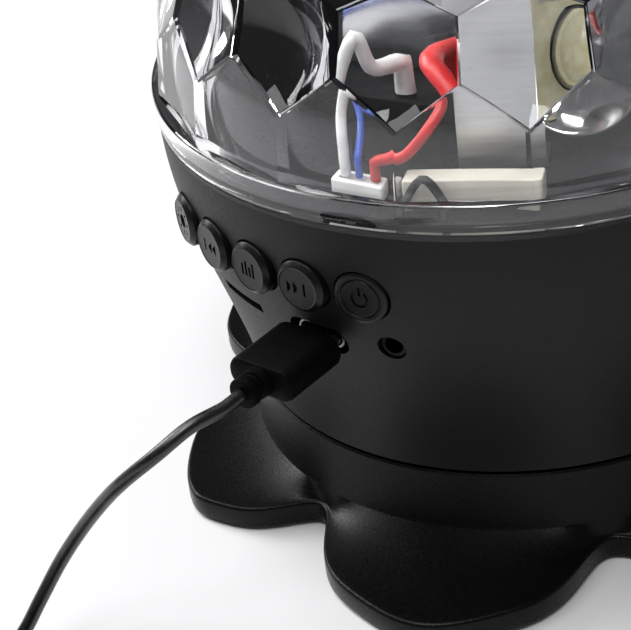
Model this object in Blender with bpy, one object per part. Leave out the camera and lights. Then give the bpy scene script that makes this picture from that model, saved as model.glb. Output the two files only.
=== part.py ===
"""Projector night light speaker: a turning crystal dome over three lamps, on a tapered speaker housing
with push buttons and sockets, which stands on a flower-shaped base. A charging lead is plugged in.

Everything is in metres with +Z up. The origin is on the floor under the middle of the base, and the
buttons face -Y. Azimuths are degrees about +Z, counted from +X.
"""

import math

import bmesh
import bpy
from mathutils import Matrix, Vector

# Clearances shared by all pieces
GAP = 0.0003
OVERRUN = 0.002
ROUND_SIDES = 20
PLATE_SIDES = 48
SHELL_SIDES = 60
FLOWER_SIDES = 84
FRONT_AZIMUTH = -90.0

# Flower base
FOOT_LIFT = 0.0010
PETAL_COUNT = 6
FLOWER_TIP_RADIUS = 0.0734
FLOWER_VALLEY_RADIUS = 0.0521
FRONT_VALLEY_AZIMUTH = -91.5
PETAL_SPAN_DEGREES = 61.3
SHORT_PETAL_TIP_RADIUS = 0.0686
SHORT_PETAL_PEAK_DEGREES = 36.0
PETAL_WAVE_SHARES = (1.0, -0.2, 0.1)
PETAL_EDGE_HEIGHT = 0.0040
PETAL_EDGE_ROUND = 0.0007
PETAL_RISE = 0.0031
PETAL_SAG = 2.2
PETAL_TOP_SHARES = (0.0, 0.16, 0.42, 0.75)
CREASE_RADIUS = 0.0509
COLLAR_HEIGHT = 0.0111
COLLAR_TOP_RADIUS = 0.0500
BASE_FLOOR_RADIUS = 0.0360
BASE_FLOOR_THICKNESS = 0.0030
BASE_CAVITY_RADIUS = 0.0450
SPIGOT_HEIGHT = 0.0045
SEAM_HEIGHT = 0.0006

# Base plate under the speaker, with its grille and screws
PLATE_RADIUS = 0.0440
PLATE_THICKNESS = 0.0020
PLATE_LIFT = 0.0020
GRILLE_HOLE_RADIUS = 0.0020
GRILLE_PITCH = 0.0085
GRILLE_RINGS = 2
SCREW_COUNT = 3
SCREW_CIRCLE_RADIUS = 0.0400
SCREW_SHANK_RADIUS = 0.0010
SCREW_HEAD_RADIUS = 0.0024
SCREW_HEAD_HEIGHT = 0.0013
SCREW_LENGTH = 0.0045

# Rubber feet
FOOT_RADIUS = 0.0045
FOOT_POCKET_DEPTH = 0.0012
FOOT_PLACE_SHARE = 0.54

# Speaker
BASKET_RADIUS = 0.0260
BASKET_LIP = 0.0035
BASKET_LIP_HEIGHT = 0.0015
BASKET_NECK_HEIGHT = 0.0034
BASKET_BACK_RADIUS = 0.0140
BASKET_HEIGHT = 0.0130
BASKET_WALL = 0.0012
CONE_RIM_HEIGHT = 0.0020
CONE_CAP_RADIUS = 0.0060
CONE_DEPTH = 0.0060
CONE_WALL = 0.0008
MAGNET_RADIUS = 0.0150
MAGNET_HEIGHT = 0.0065

# Housing shell
SHELL_HEIGHT = 0.0520
SHELL_BASE_RADIUS = 0.0500
SHELL_TOP_RADIUS = 0.0612
SHELL_WALL = 0.0022
SHELL_EASE = 0.85
SHELL_OUTSIDE_SHARES = (0.0, 0.15, 0.35, 0.55, 0.75, 1.0)
RIM_WALL = 0.0022
LEDGE_RADIUS = 0.0535
LEDGE_DROP = 0.0010
LEDGE_THICKNESS = 0.0020
LEDGE_SLOPE = 0.0030

# Deck over the housing, which carries the lamps and the motor
DECK_THICKNESS = 0.0020
DECK_MARGIN = 0.0009
WIRE_HOLE_RADIUS = 0.0035
WIRE_HOLE_PLACE = 0.0300
WIRE_HOLE_AZIMUTH = -84.0

# Crystal dome
SKIRT_GAP = 0.0006
SKIRT_BASE_RADIUS = 0.0614
SKIRT_RADIUS = 0.0617
SKIRT_FLARE_HEIGHT = 0.0030
SKIRT_CROWN_HEIGHT = 0.0024
SKIRT_LEDGE_RADIUS = 0.0611
SKIRT_ROUND = 0.0005
SPHERE_LIFT = 0.0016
FACET_INRADIUS = 0.05925
FACET_ROW_COUNTS = (18, 18, 18, 12, 6, 1)
FACET_ROW_ELEVATIONS = (6.1, 18.9, 37.3, 56.0, 74.0, 90.0)
FACET_ROW_TURNS = (0.5, 0.0, 0.5, 0.25, 0.5, 0.0)
FACET_START_AZIMUTH = -101.7
DOME_WALL = 0.0020
DOME_BOSS_RADIUS = 0.0090
DOME_BOSS_HEIGHT = 0.0022

# Dome drive: hub, shaft, gearbox, motor and the tripod that holds them
HUB_FLANGE_RADIUS = 0.0080
HUB_FLANGE_HEIGHT = 0.0020
HUB_RADIUS = 0.0045
HUB_HEIGHT = 0.0100
HUB_BORE_DEPTH = 0.0085
SHAFT_RADIUS = 0.0020
TRIPOD_HEIGHT = 0.0350
TRIPOD_LEG_RADIUS = 0.0440
TRIPOD_LEG_WIDTH = 0.0124
TRIPOD_THICKNESS = 0.0012
TRIPOD_FOOT_LENGTH = 0.0080
TRIPOD_DISC_RADIUS = 0.0140
TRIPOD_DISC_MARGIN = 0.0001
TRIPOD_HOLE_RADIUS = 0.0035
TRIPOD_AZIMUTH = -47.3
RIVET_RADIUS = 0.0018
RIVET_HEIGHT = 0.0008
GEARBOX_RADIUS = 0.0120
GEARBOX_HEIGHT = 0.0090
MOTOR_RADIUS = 0.0075
MOTOR_HEIGHT = 0.0165

# Lamps: cup, reflector and emitter, three of each
LAMP_COUNT = 3
LAMP_AZIMUTH = -25.0
LAMP_TILT = 60.0
LAMP_PLACE = 0.0195
LAMP_HEIGHT = 0.0080
CUP_BACK_RADIUS = 0.0085
CUP_RIM_RADIUS = 0.0165
CUP_DEPTH = 0.0160
CUP_WALL = 0.0014
CUP_FLOOR = 0.0020
PEDESTAL_RADIUS = 0.0050
REFLECTOR_WALL = 0.0007
REFLECTOR_RECESS = 0.0004
EMITTER_RADIUS = 0.0024
EMITTER_BASE_HEIGHT = 0.0010
EMITTER_HEIGHT = 0.0026

# Pieces on the deck beside the lamps
TERMINAL_WIDTH = 0.0216
TERMINAL_DEPTH = 0.0040
TERMINAL_HEIGHT = 0.0048
TERMINAL_PLACE = 0.0520
TERMINAL_AZIMUTH = -51.9
CONNECTOR_WIDTH = 0.0100
CONNECTOR_DEPTH = 0.0036
CONNECTOR_HEIGHT = 0.0028
CONNECTOR_PLACE = 0.0522
CONNECTOR_AZIMUTH = -71.0
DRIVER_WIDTH = 0.0150
DRIVER_DEPTH = 0.0090
DRIVER_HEIGHT = 0.0140
DRIVER_PLACE = 0.0370
DRIVER_AZIMUTH = -70.5
HEATSINK_WIDTH = 0.0150
HEATSINK_THICKNESS = 0.0014
HEATSINK_HEIGHT = 0.0075
EDGE_ROUND = 0.0006
WIRE_RADIUS = 0.0007
THICK_WIRE_RADIUS = 0.0010
WIRE_STEP = 0.0032

# Battery and its tray under the deck
BATTERY_RADIUS = 0.0091
BATTERY_LENGTH = 0.0650
BATTERY_BACK_SET = 0.0180
TRAY_WALL = 0.0014

# Controls in the housing wall
BUTTON_COUNT = 5
BUTTON_PITCH_DEGREES = 10.4
BUTTON_DROP = 0.0124
BUTTON_RADIUS = 0.0047
BUTTON_PROUD = 0.0019
POWER_PROUD = 0.0008
BUTTON_CHAMFER = 0.0007
BUTTON_TRAVEL = 0.0006
BUTTON_CAP_DEPTH = 0.0032
TAB_WIDTH = 0.0048
TAB_REACH = 0.0020
TAB_THICKNESS = 0.0010
STEM_RADIUS = 0.0017
USB_DROP = 0.0243
USB_AZIMUTH = -80.5
USB_OPENING_WIDTH = 0.0120
USB_OPENING_HEIGHT = 0.0062
CARD_DROP = 0.0237
CARD_AZIMUTH = -99.7
CARD_SLOT_WIDTH = 0.0120
CARD_SLOT_HEIGHT = 0.0019
JACK_DROP = 0.0232
JACK_AZIMUTH = -66.2
JACK_HOLE_RADIUS = 0.0025

# Boards and sockets
BOARD_THICKNESS = 0.0016
BOARD_BACK_DEGREES = 5.0
SWITCH_SIZE = 0.0045
SWITCH_DEPTH = 0.0030
SWITCH_FRONT = 0.0465
KEY_BOARD_WIDTH = 0.0600
KEY_BOARD_HEIGHT = 0.0150
KEY_BOARD_LEG_WIDTH = 0.0040
USB_SOCKET_WALL = 0.0004
USB_SOCKET_DEPTH = 0.0073
USB_SOCKET_POCKET = 0.0064
USB_SOCKET_INSET = 0.0009
CARD_SOCKET_WIDTH = 0.0136
CARD_SOCKET_DEPTH = 0.0135
CARD_SOCKET_ABOVE = 0.0010
CARD_POCKET_WIDTH = 0.0114
CARD_POCKET_HEIGHT = 0.0011
CARD_POCKET_DEPTH = 0.0120
JACK_WIDTH = 0.0060
JACK_ABOVE = 0.0024
JACK_DEPTH = 0.0100
JACK_NOSE_RADIUS = 0.0021
JACK_BORE_RADIUS = 0.0016
JACK_BORE_DEPTH = 0.0090
JACK_NOSE_INSET = 0.0010

# Charging lead: device plug, cord, coil, tie and the far plug
PLUG_WIDTH = 0.0133
PLUG_HEIGHT = 0.0059
PLUG_LENGTH = 0.0132
PLUG_ROUND = 0.0006
PLUG_STANDOFF = 0.0021
PLUG_SHELL_WIDTH = 0.0082
PLUG_SHELL_HEIGHT = 0.0024
PLUG_SHELL_INSERTED = 0.0036
COLLAR_RADIUS = 0.0027
COLLAR_LENGTHS = (0.0016, 0.0010, 0.0020)
NECK_RADIUS = 0.0020
CORD_RADIUS = 0.0012
CORD_STEP = 0.0040
CORD_ROUTE = (
    (0.0125, -0.0865, 0.0470),
    (0.0106, -0.0925, 0.0440),
    (0.0055, -0.0963, 0.0385),
    (0.0006, -0.0980, 0.0328),
    (-0.0042, -0.1000, 0.0262),
    (-0.0078, -0.1030, 0.0195),
    (-0.0098, -0.1070, 0.0130),
    (-0.0112, -0.1112, 0.0072),
    (-0.0128, -0.1165, 0.0034),
    (-0.0138, -0.1220, 0.0024),
)
COIL_CENTRE = (0.0036, -0.1350)
COIL_MIDDLE_RADIUS = 0.0145
COIL_PITCH = 0.00285
COIL_LAYERS = 4
COIL_TURNS = 9.25
COIL_POINTS_PER_TURN = 24
TAIL_ROUTE = (
    (0.0100, -0.1529, 0.0106),
    (0.0150, -0.1532, 0.0094),
    (0.0205, -0.1535, 0.0066),
    (0.0260, -0.1535, 0.0044),
)
FAR_PLUG_PLACE = (0.0350, -0.1535)
TIE_AZIMUTH = 40.0
TIE_WIDTH = 0.0030
TIE_THICKNESS = 0.0006
TIE_ROUND = 0.0020
FLOOR_CLEARANCE = 0.0001
FAR_PLUG_WIDTH = 0.0150
FAR_PLUG_HEIGHT = 0.0074
FAR_PLUG_LENGTH = 0.0180
FAR_SHELL_WIDTH = 0.0120
FAR_SHELL_HEIGHT = 0.0045
FAR_SHELL_LENGTH = 0.0118
FAR_NECK_RADIUS = 0.0024
FAR_NECK_LENGTH = 0.0060

# Levels that the pieces stack up to
FLOWER_BOTTOM_Z = FOOT_LIFT
PETAL_RIM_Z = FLOWER_BOTTOM_Z + PETAL_EDGE_HEIGHT
CREASE_Z = PETAL_RIM_Z + PETAL_RISE
COLLAR_TOP_Z = CREASE_Z + COLLAR_HEIGHT
PLATE_BOTTOM_Z = FLOWER_BOTTOM_Z + PLATE_LIFT
PLATE_TOP_Z = PLATE_BOTTOM_Z + PLATE_THICKNESS
SHELL_BOTTOM_Z = COLLAR_TOP_Z + SEAM_HEIGHT
SHELL_TOP_Z = SHELL_BOTTOM_Z + SHELL_HEIGHT
BUTTON_Z = SHELL_TOP_Z - BUTTON_DROP
USB_Z = SHELL_TOP_Z - USB_DROP
CARD_Z = SHELL_TOP_Z - CARD_DROP
JACK_Z = SHELL_TOP_Z - JACK_DROP
LEDGE_TOP_Z = SHELL_TOP_Z - LEDGE_DROP
LEDGE_BOTTOM_Z = LEDGE_TOP_Z - LEDGE_THICKNESS
DECK_BOTTOM_Z = LEDGE_TOP_Z + GAP
DECK_TOP_Z = DECK_BOTTOM_Z + DECK_THICKNESS
ON_DECK_Z = DECK_TOP_Z + GAP
SKIRT_BOTTOM_Z = SHELL_TOP_Z + SKIRT_GAP
SKIRT_MIDDLE_Z = SKIRT_BOTTOM_Z + SKIRT_FLARE_HEIGHT
DOME_LEDGE_Z = SKIRT_MIDDLE_Z + SKIRT_CROWN_HEIGHT
SPHERE_Z = DOME_LEDGE_Z + SPHERE_LIFT
DOME_INNER_RADIUS = FACET_INRADIUS - DOME_WALL
DOME_TOP_Z = SPHERE_Z + FACET_INRADIUS
TRIPOD_TOP_Z = ON_DECK_Z + TRIPOD_HEIGHT
GEARBOX_TOP_Z = TRIPOD_TOP_Z - TRIPOD_THICKNESS - TRIPOD_DISC_MARGIN - GAP
GEARBOX_BOTTOM_Z = GEARBOX_TOP_Z - GEARBOX_HEIGHT
HUB_TOP_Z = DOME_TOP_Z - DOME_WALL - DOME_BOSS_HEIGHT - GAP
USB_SOCKET_HEIGHT = PLUG_SHELL_HEIGHT + 2 * GAP + 2 * USB_SOCKET_WALL
MAIN_BOARD_TOP_Z = USB_Z - USB_SOCKET_HEIGHT / 2 - GAP
MAIN_BOARD_BOTTOM_Z = MAIN_BOARD_TOP_Z - BOARD_THICKNESS
ON_BOARD_Z = MAIN_BOARD_TOP_Z + GAP
COIL_SPREAD = COIL_PITCH * COIL_TURNS / COIL_LAYERS
COIL_OUTER_RADIUS = COIL_MIDDLE_RADIUS + COIL_SPREAD / 2
COIL_BOTTOM_Z = FLOOR_CLEARANCE + TIE_THICKNESS + GAP + CORD_RADIUS


def clear_scene():
    for old in list(bpy.data.objects):
        bpy.data.objects.remove(old, do_unlink=True)


def material(name, colour, roughness, metallic=0.0, alpha=1.0):
    made = bpy.data.materials.get(name)
    if made is not None:
        return made
    made = bpy.data.materials.new(name)
    made.use_nodes = True
    shader = made.node_tree.nodes["Principled BSDF"]
    shader.inputs["Base Color"].default_value = (*colour, 1.0)
    shader.inputs["Roughness"].default_value = roughness
    shader.inputs["Metallic"].default_value = metallic
    shader.inputs["Alpha"].default_value = alpha
    return made


def black_plastic():
    return material("black_plastic", (0.028, 0.028, 0.03), 0.5)


def black_rubber():
    return material("black_rubber", (0.02, 0.02, 0.021), 0.7)


def clear_plastic():
    return material("clear_plastic", (0.9, 0.92, 0.96), 0.05, alpha=0.3)


def white_plastic():
    return material("white_plastic", (0.8, 0.78, 0.7), 0.4)


def brushed_steel():
    return material("brushed_steel", (0.6, 0.6, 0.61), 0.35, metallic=1.0)


def bright_metal():
    return material("bright_metal", (0.85, 0.85, 0.86), 0.12, metallic=1.0)


def board_green():
    return material("board_green", (0.03, 0.16, 0.07), 0.5)


def magnet_grey():
    return material("magnet_grey", (0.2, 0.2, 0.21), 0.5, metallic=1.0)


def cone_paper():
    return material("cone_paper", (0.07, 0.07, 0.075), 0.85)


def battery_wrap():
    return material("battery_wrap", (0.05, 0.2, 0.42), 0.35)


def emitter_yellow():
    return material("emitter_yellow", (0.86, 0.80, 0.52), 0.3)


def add_mesh(name, mesh_edit, finish, place=None, helper=False):
    """Makes an object of an edited mesh, with its faces turned outwards and smooth shading."""
    bmesh.ops.recalc_face_normals(mesh_edit, faces=mesh_edit.faces[:])
    mesh = bpy.data.meshes.new(name)
    mesh_edit.to_mesh(mesh)
    mesh_edit.free()
    mesh.shade_smooth()
    mesh.set_sharp_from_angle(angle=math.radians(32))
    mesh.materials.append(finish)
    made = bpy.data.objects.new(name, mesh)
    bpy.context.scene.collection.objects.link(made)
    if place is not None:
        made.matrix_world = place
    if helper:
        made.hide_render = True
        made.display_type = "WIRE"
    return made


def combine(target, tool, operation):
    tool.hide_render = True
    tool.display_type = "WIRE"
    step = target.modifiers.new(operation.lower() + "_" + tool.name, "BOOLEAN")
    step.operation = operation
    step.object = tool
    step.solver = "EXACT"


def cut(target, tool):
    combine(target, tool, "DIFFERENCE")


def fuse(target, tool):
    combine(target, tool, "UNION")


def ring_mesh(rings, steps):
    """A closed mesh from rings about Z, each (radius, z). A radius may be a function of the angle in radians.
    Rings of zero radius at both ends close the ends, and otherwise the last ring joins the first."""
    mesh_edit = bmesh.new()
    loops = []
    for radius, z in rings:
        if radius == 0:
            loops.append([mesh_edit.verts.new((0, 0, z))])
            continue
        loop = []
        for step in range(steps):
            angle = 2 * math.pi * step / steps
            reach = radius(angle) if callable(radius) else radius
            loop.append(mesh_edit.verts.new((reach * math.cos(angle), reach * math.sin(angle), z)))
        loops.append(loop)
    pairs = list(zip(loops, loops[1:]))
    if len(loops[0]) > 1:
        pairs.append((loops[-1], loops[0]))
    for low, high in pairs:
        for step in range(steps):
            following = (step + 1) % steps
            corners = [low[step % len(low)], low[following % len(low)]]
            corners += [high[following % len(high)], high[step % len(high)]]
            mesh_edit.faces.new(list(dict.fromkeys(corners)))
    return mesh_edit


def turned(name, rings, finish, steps=ROUND_SIDES, place=None, helper=False):
    return add_mesh(name, ring_mesh(rings, steps), finish, place, helper)


def disc(name, radius, low, high, finish, steps=ROUND_SIDES, place=None, helper=False):
    rings = ((0, low), (radius, low), (radius, high), (0, high))
    return turned(name, rings, finish, steps, place, helper)


def prism_mesh(outline, low, high):
    """A closed mesh from an outline in X and Y, raised from low to high."""
    mesh_edit = bmesh.new()
    floor = mesh_edit.faces.new([mesh_edit.verts.new((x, y, low)) for x, y in outline])
    raised = bmesh.ops.extrude_face_region(mesh_edit, geom=[floor])
    for item in raised["geom"]:
        if isinstance(item, bmesh.types.BMVert):
            item.co.z = high
    return mesh_edit


def prism(name, outline, low, high, finish, place=None, helper=False):
    return add_mesh(name, prism_mesh(outline, low, high), finish, place, helper)


def rectangle(width, height):
    half_width = width / 2
    half_height = height / 2
    return (
        (-half_width, -half_height),
        (half_width, -half_height),
        (half_width, half_height),
        (-half_width, half_height),
    )


def rounded_outline(width, height, radius, corner_steps=5):
    """A rectangle about the origin with round corners; a radius of half its height makes round ends."""
    points = []
    for turn, (side, up) in enumerate(((1, -1), (1, 1), (-1, 1), (-1, -1))):
        centre_x = side * (width / 2 - radius)
        centre_y = up * (height / 2 - radius)
        for step in range(corner_steps + 1):
            angle = math.pi / 2 * (turn - 1 + step / corner_steps)
            points.append((centre_x + radius * math.cos(angle), centre_y + radius * math.sin(angle)))
    return points


def outward(azimuth, radius, z):
    """A place in the housing wall: local +Z points out of it, +X to its right as seen from outside, +Y up."""
    angle = math.radians(azimuth)
    out = Vector((math.cos(angle), math.sin(angle), 0))
    right = Vector((-math.sin(angle), math.cos(angle), 0))
    up = Vector((0, 0, 1))
    turn = Matrix((right, up, out)).transposed()
    return Matrix.Translation(out * radius + up * z) @ turn.to_4x4()


def upright(azimuth, radius, z):
    """A place on a level: local +Z points up and local +Y points away from the middle."""
    angle = math.radians(azimuth)
    move = Matrix.Translation((radius * math.cos(angle), radius * math.sin(angle), z))
    return move @ Matrix.Rotation(angle - math.pi / 2, 4, "Z")


def polar(radius, azimuth, z):
    angle = math.radians(azimuth)
    return Vector((radius * math.cos(angle), radius * math.sin(angle), z))


def smooth_route(points, spacing):
    """Points a given distance apart along a smooth curve. The first and the last stretch stay straight."""
    knots = [Vector(point) for point in points]
    fine = []
    for index in range(1, len(knots) - 2):
        before, start, end, after = knots[index - 1 : index + 3]
        for part in range(24):
            t = part / 24
            bend = (2 * before - 5 * start + 4 * end - after) * t**2
            bend += (3 * start - before - 3 * end + after) * t**3
            fine.append((2 * start + (end - before) * t + bend) / 2)
    fine.append(knots[-2])
    lengths = [0.0]
    for start, end in zip(fine, fine[1:]):
        lengths.append(lengths[-1] + (end - start).length)
    count = max(2, round(lengths[-1] / spacing))
    evened = [knots[0]]
    index = 0
    for step in range(count + 1):
        wanted = lengths[-1] * step / count
        while index < len(lengths) - 2 and lengths[index + 1] < wanted:
            index += 1
        share = (wanted - lengths[index]) / (lengths[index + 1] - lengths[index])
        evened.append(fine[index].lerp(fine[index + 1], share))
    evened.append(knots[-1])
    return evened


def route_length(points):
    return sum((end - start).length for start, end in zip(points, points[1:]))


def tube(name, points, radius, finish, resolution=2):
    """A round tube along the points, with closed ends."""
    curve = bpy.data.curves.new(name, "CURVE")
    curve.dimensions = "3D"
    curve.bevel_depth = radius
    curve.bevel_resolution = resolution
    curve.use_fill_caps = True
    curve.materials.append(finish)
    spline = curve.splines.new("POLY")
    spline.points.add(len(points) - 1)
    for knot, point in zip(spline.points, points):
        knot.co = (*point, 1.0)
    made = bpy.data.objects.new(name, curve)
    bpy.context.scene.collection.objects.link(made)
    return made


def shell_radius(z):
    """The housing's outer radius at a height: a cup that swells smoothly from the seam to the rim."""
    share = min(1.0, max(0.0, (z - SHELL_BOTTOM_Z) / SHELL_HEIGHT)) ** SHELL_EASE
    swell = share * share * (3 - 2 * share)
    return SHELL_BASE_RADIUS + (SHELL_TOP_RADIUS - SHELL_BASE_RADIUS) * swell


def shell_inner_radius(z):
    return shell_radius(z) - SHELL_WALL


def wall_reach(z):
    """How far out a round piece may reach and stay a gap inside the wall, which is flat between its corners."""
    return shell_inner_radius(z) * math.cos(math.pi / SHELL_SIDES) - GAP


def wall_seat(z, half_width):
    """How far out a flat front of this half width may stand and stay a gap inside the housing wall."""
    return math.sqrt(wall_reach(z) ** 2 - half_width**2)


def flower_radius(angle):
    """The base's outline: equal round petals, and a short lopsided one under the charging socket."""
    first, second, third = PETAL_WAVE_SHARES
    turned_by = (math.degrees(angle) - FRONT_VALLEY_AZIMUTH) % 360
    number = min(int(turned_by // PETAL_SPAN_DEGREES), PETAL_COUNT - 1)
    along = turned_by - number * PETAL_SPAN_DEGREES
    if number < PETAL_COUNT - 1:
        tip = FLOWER_TIP_RADIUS
        share = 2 * along / PETAL_SPAN_DEGREES - 1
    else:
        tip = SHORT_PETAL_TIP_RADIUS
        before = SHORT_PETAL_PEAK_DEGREES
        after = 360 - (PETAL_COUNT - 1) * PETAL_SPAN_DEGREES - before
        share = (along - before) / (before if along < before else after)
    phase = math.pi * share
    swing = (tip - FLOWER_VALLEY_RADIUS) / (2 * (first + third))
    middle = tip - swing * (first + second + third)
    return middle + swing * (first * math.cos(phase) + second * math.cos(2 * phase) + third * math.cos(3 * phase))


def petal_ring(share):
    """A ring of the petals' top, at this share of the way from the crease out to the edge."""

    def radius(angle):
        edge = flower_radius(angle) - PETAL_EDGE_ROUND
        return CREASE_RADIUS + share * (edge - CREASE_RADIUS)

    return radius, PETAL_RIM_Z + PETAL_RISE * (1 - share) ** PETAL_SAG


def inset_outline(inset):
    return lambda angle: flower_radius(angle) - inset


def flower_base():
    recess_z = PLATE_TOP_Z + GAP
    floor_top_z = recess_z + BASE_FLOOR_THICKNESS
    spigot_top_z = COLLAR_TOP_Z + SPIGOT_HEIGHT
    spigot_radius = wall_reach(SHELL_BOTTOM_Z)
    rings = [
        (0, FLOWER_BOTTOM_Z),
        (inset_outline(PETAL_EDGE_ROUND / 2), FLOWER_BOTTOM_Z),
        (inset_outline(0), FLOWER_BOTTOM_Z + PETAL_EDGE_ROUND / 2),
        (inset_outline(0), PETAL_RIM_Z - PETAL_EDGE_ROUND),
        (inset_outline(PETAL_EDGE_ROUND), PETAL_RIM_Z),
    ]
    rings += [petal_ring(share) for share in reversed(PETAL_TOP_SHARES)]
    rings += [
        (COLLAR_TOP_RADIUS, COLLAR_TOP_Z),
        (spigot_radius, COLLAR_TOP_Z),
        (spigot_radius, spigot_top_z),
        (0, spigot_top_z),
    ]
    made = turned("flower_base", rings, black_plastic(), steps=FLOWER_SIDES)
    hollow_rings = (
        (0, FLOWER_BOTTOM_Z - OVERRUN),
        (PLATE_RADIUS + GAP, FLOWER_BOTTOM_Z - OVERRUN),
        (PLATE_RADIUS + GAP, recess_z),
        (BASE_FLOOR_RADIUS, recess_z),
        (BASE_FLOOR_RADIUS, floor_top_z),
        (BASE_CAVITY_RADIUS, floor_top_z),
        (BASE_CAVITY_RADIUS, spigot_top_z + OVERRUN),
        (0, spigot_top_z + OVERRUN),
    )
    cut(made, turned("base_hollow", hollow_rings, black_plastic(), steps=PLATE_SIDES, helper=True))
    for azimuth, radius in foot_places():
        pocket = disc(
            f"foot_pocket_{azimuth:.0f}",
            FOOT_RADIUS + GAP,
            FLOWER_BOTTOM_Z - OVERRUN,
            FLOWER_BOTTOM_Z + FOOT_POCKET_DEPTH,
            black_plastic(),
            steps=16,
            place=upright(azimuth, radius, 0),
            helper=True,
        )
        cut(made, pocket)
    for azimuth in screw_azimuths():
        pilot = disc(
            f"pilot_{azimuth:.0f}",
            SCREW_SHANK_RADIUS + GAP,
            recess_z - OVERRUN,
            floor_top_z + OVERRUN,
            black_plastic(),
            steps=14,
            place=upright(azimuth, SCREW_CIRCLE_RADIUS, 0),
            helper=True,
        )
        cut(made, pilot)


def foot_places():
    """Each foot's azimuth, in the middle of its petal, and its radius, between the plate and the petal's tip."""
    inner = PLATE_RADIUS + GAP
    radius = inner + FOOT_PLACE_SHARE * (FLOWER_TIP_RADIUS - inner)
    short_radius = inner + FOOT_PLACE_SHARE * (SHORT_PETAL_TIP_RADIUS - inner)
    short_span = 360 - (PETAL_COUNT - 1) * PETAL_SPAN_DEGREES
    places = [(FRONT_VALLEY_AZIMUTH + PETAL_SPAN_DEGREES * (index + 0.5), radius) for index in range(PETAL_COUNT - 1)]
    return places + [(FRONT_VALLEY_AZIMUTH - short_span / 2, short_radius)]


def screw_azimuths():
    return [FRONT_AZIMUTH + 360 / SCREW_COUNT * index for index in range(SCREW_COUNT)]


def feet():
    top = FLOWER_BOTTOM_Z + FOOT_POCKET_DEPTH - GAP
    for index, (azimuth, radius) in enumerate(foot_places()):
        rings = ((0, 0), (FOOT_RADIUS - FOOT_LIFT / 2, 0), (FOOT_RADIUS, FOOT_LIFT / 2), (FOOT_RADIUS, top), (0, top))
        turned(f"foot_{index + 1}", rings, black_rubber(), steps=16, place=upright(azimuth, radius, 0))


def grille_places():
    """Holes in rings about the middle of the plate, six more in each ring."""
    places = [(0.0, 0.0)]
    for ring in range(1, GRILLE_RINGS + 1):
        for index in range(6 * ring):
            angle = 2 * math.pi * index / (6 * ring)
            places.append((ring * GRILLE_PITCH * math.cos(angle), ring * GRILLE_PITCH * math.sin(angle)))
    return places


def base_plate():
    made = disc("base_plate", PLATE_RADIUS, PLATE_BOTTOM_Z, PLATE_TOP_Z, black_plastic(), steps=PLATE_SIDES)
    holes = bmesh.new()
    outlines = [(x, y, GRILLE_HOLE_RADIUS) for x, y in grille_places()]
    for azimuth in screw_azimuths():
        centre = polar(SCREW_CIRCLE_RADIUS, azimuth, 0)
        outlines.append((centre.x, centre.y, SCREW_SHANK_RADIUS + 2 * GAP))
    for x, y, radius in outlines:
        bmesh.ops.create_cone(
            holes,
            cap_ends=True,
            segments=8,
            radius1=radius,
            radius2=radius,
            depth=PLATE_THICKNESS + 2 * OVERRUN,
            matrix=Matrix.Translation((x, y, (PLATE_BOTTOM_Z + PLATE_TOP_Z) / 2)),
        )
    cut(made, add_mesh("grille_holes", holes, black_plastic(), helper=True))
    head_top = PLATE_BOTTOM_Z - GAP
    head_bottom = head_top - SCREW_HEAD_HEIGHT
    for index, azimuth in enumerate(screw_azimuths()):
        rings = (
            (0, head_bottom),
            (SCREW_HEAD_RADIUS, head_bottom),
            (SCREW_HEAD_RADIUS, head_top),
            (SCREW_SHANK_RADIUS, head_top),
            (SCREW_SHANK_RADIUS, head_top + SCREW_LENGTH),
            (0, head_top + SCREW_LENGTH),
        )
        place = upright(azimuth, SCREW_CIRCLE_RADIUS, 0)
        turned(f"base_screw_{index + 1}", rings, brushed_steel(), steps=12, place=place)


def speaker():
    seat = PLATE_TOP_Z + GAP
    lip_inside = BASKET_RADIUS - BASKET_LIP
    lip_top = seat + BASKET_LIP_HEIGHT
    neck_top = seat + BASKET_NECK_HEIGHT
    back_top = seat + BASKET_HEIGHT
    back_bottom = back_top - BASKET_WALL
    rings = (
        (0, back_bottom),
        (BASKET_BACK_RADIUS - BASKET_WALL, back_bottom),
        (lip_inside, neck_top),
        (lip_inside, seat),
        (BASKET_RADIUS, seat),
        (BASKET_RADIUS, lip_top),
        (lip_inside + BASKET_WALL, lip_top),
        (lip_inside + BASKET_WALL, neck_top),
        (BASKET_BACK_RADIUS, back_top),
        (0, back_top),
    )
    turned("speaker_basket", rings, brushed_steel())
    rim = seat + CONE_RIM_HEIGHT
    cone_rim_radius = lip_inside - GAP
    cone_top = rim + CONE_DEPTH
    rings = (
        (0, cone_top - CONE_WALL * 2),
        (CONE_CAP_RADIUS, cone_top - CONE_WALL),
        (cone_rim_radius - CONE_WALL, rim - CONE_WALL),
        (cone_rim_radius, rim - CONE_WALL),
        (cone_rim_radius, rim),
        (CONE_CAP_RADIUS, cone_top),
        (0, cone_top - CONE_WALL),
    )
    turned("speaker_cone", rings, cone_paper())
    low = back_top + GAP
    disc("speaker_magnet", MAGNET_RADIUS, low, low + MAGNET_HEIGHT, magnet_grey())


def shell_rings():
    rings = []
    for share in SHELL_OUTSIDE_SHARES:
        z = SHELL_BOTTOM_Z + share * SHELL_HEIGHT
        rings.append((shell_radius(z), z))
    rim_inside = SHELL_TOP_RADIUS - RIM_WALL
    slope_z = LEDGE_BOTTOM_Z - LEDGE_SLOPE
    rings += [
        (rim_inside, SHELL_TOP_Z),
        (rim_inside, LEDGE_TOP_Z),
        (LEDGE_RADIUS, LEDGE_TOP_Z),
        (LEDGE_RADIUS, LEDGE_BOTTOM_Z),
        (shell_inner_radius(slope_z), slope_z),
    ]
    for share in reversed(SHELL_OUTSIDE_SHARES[:-1]):
        z = SHELL_BOTTOM_Z + share * SHELL_HEIGHT
        rings.append((shell_inner_radius(z), z))
    return rings


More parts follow.
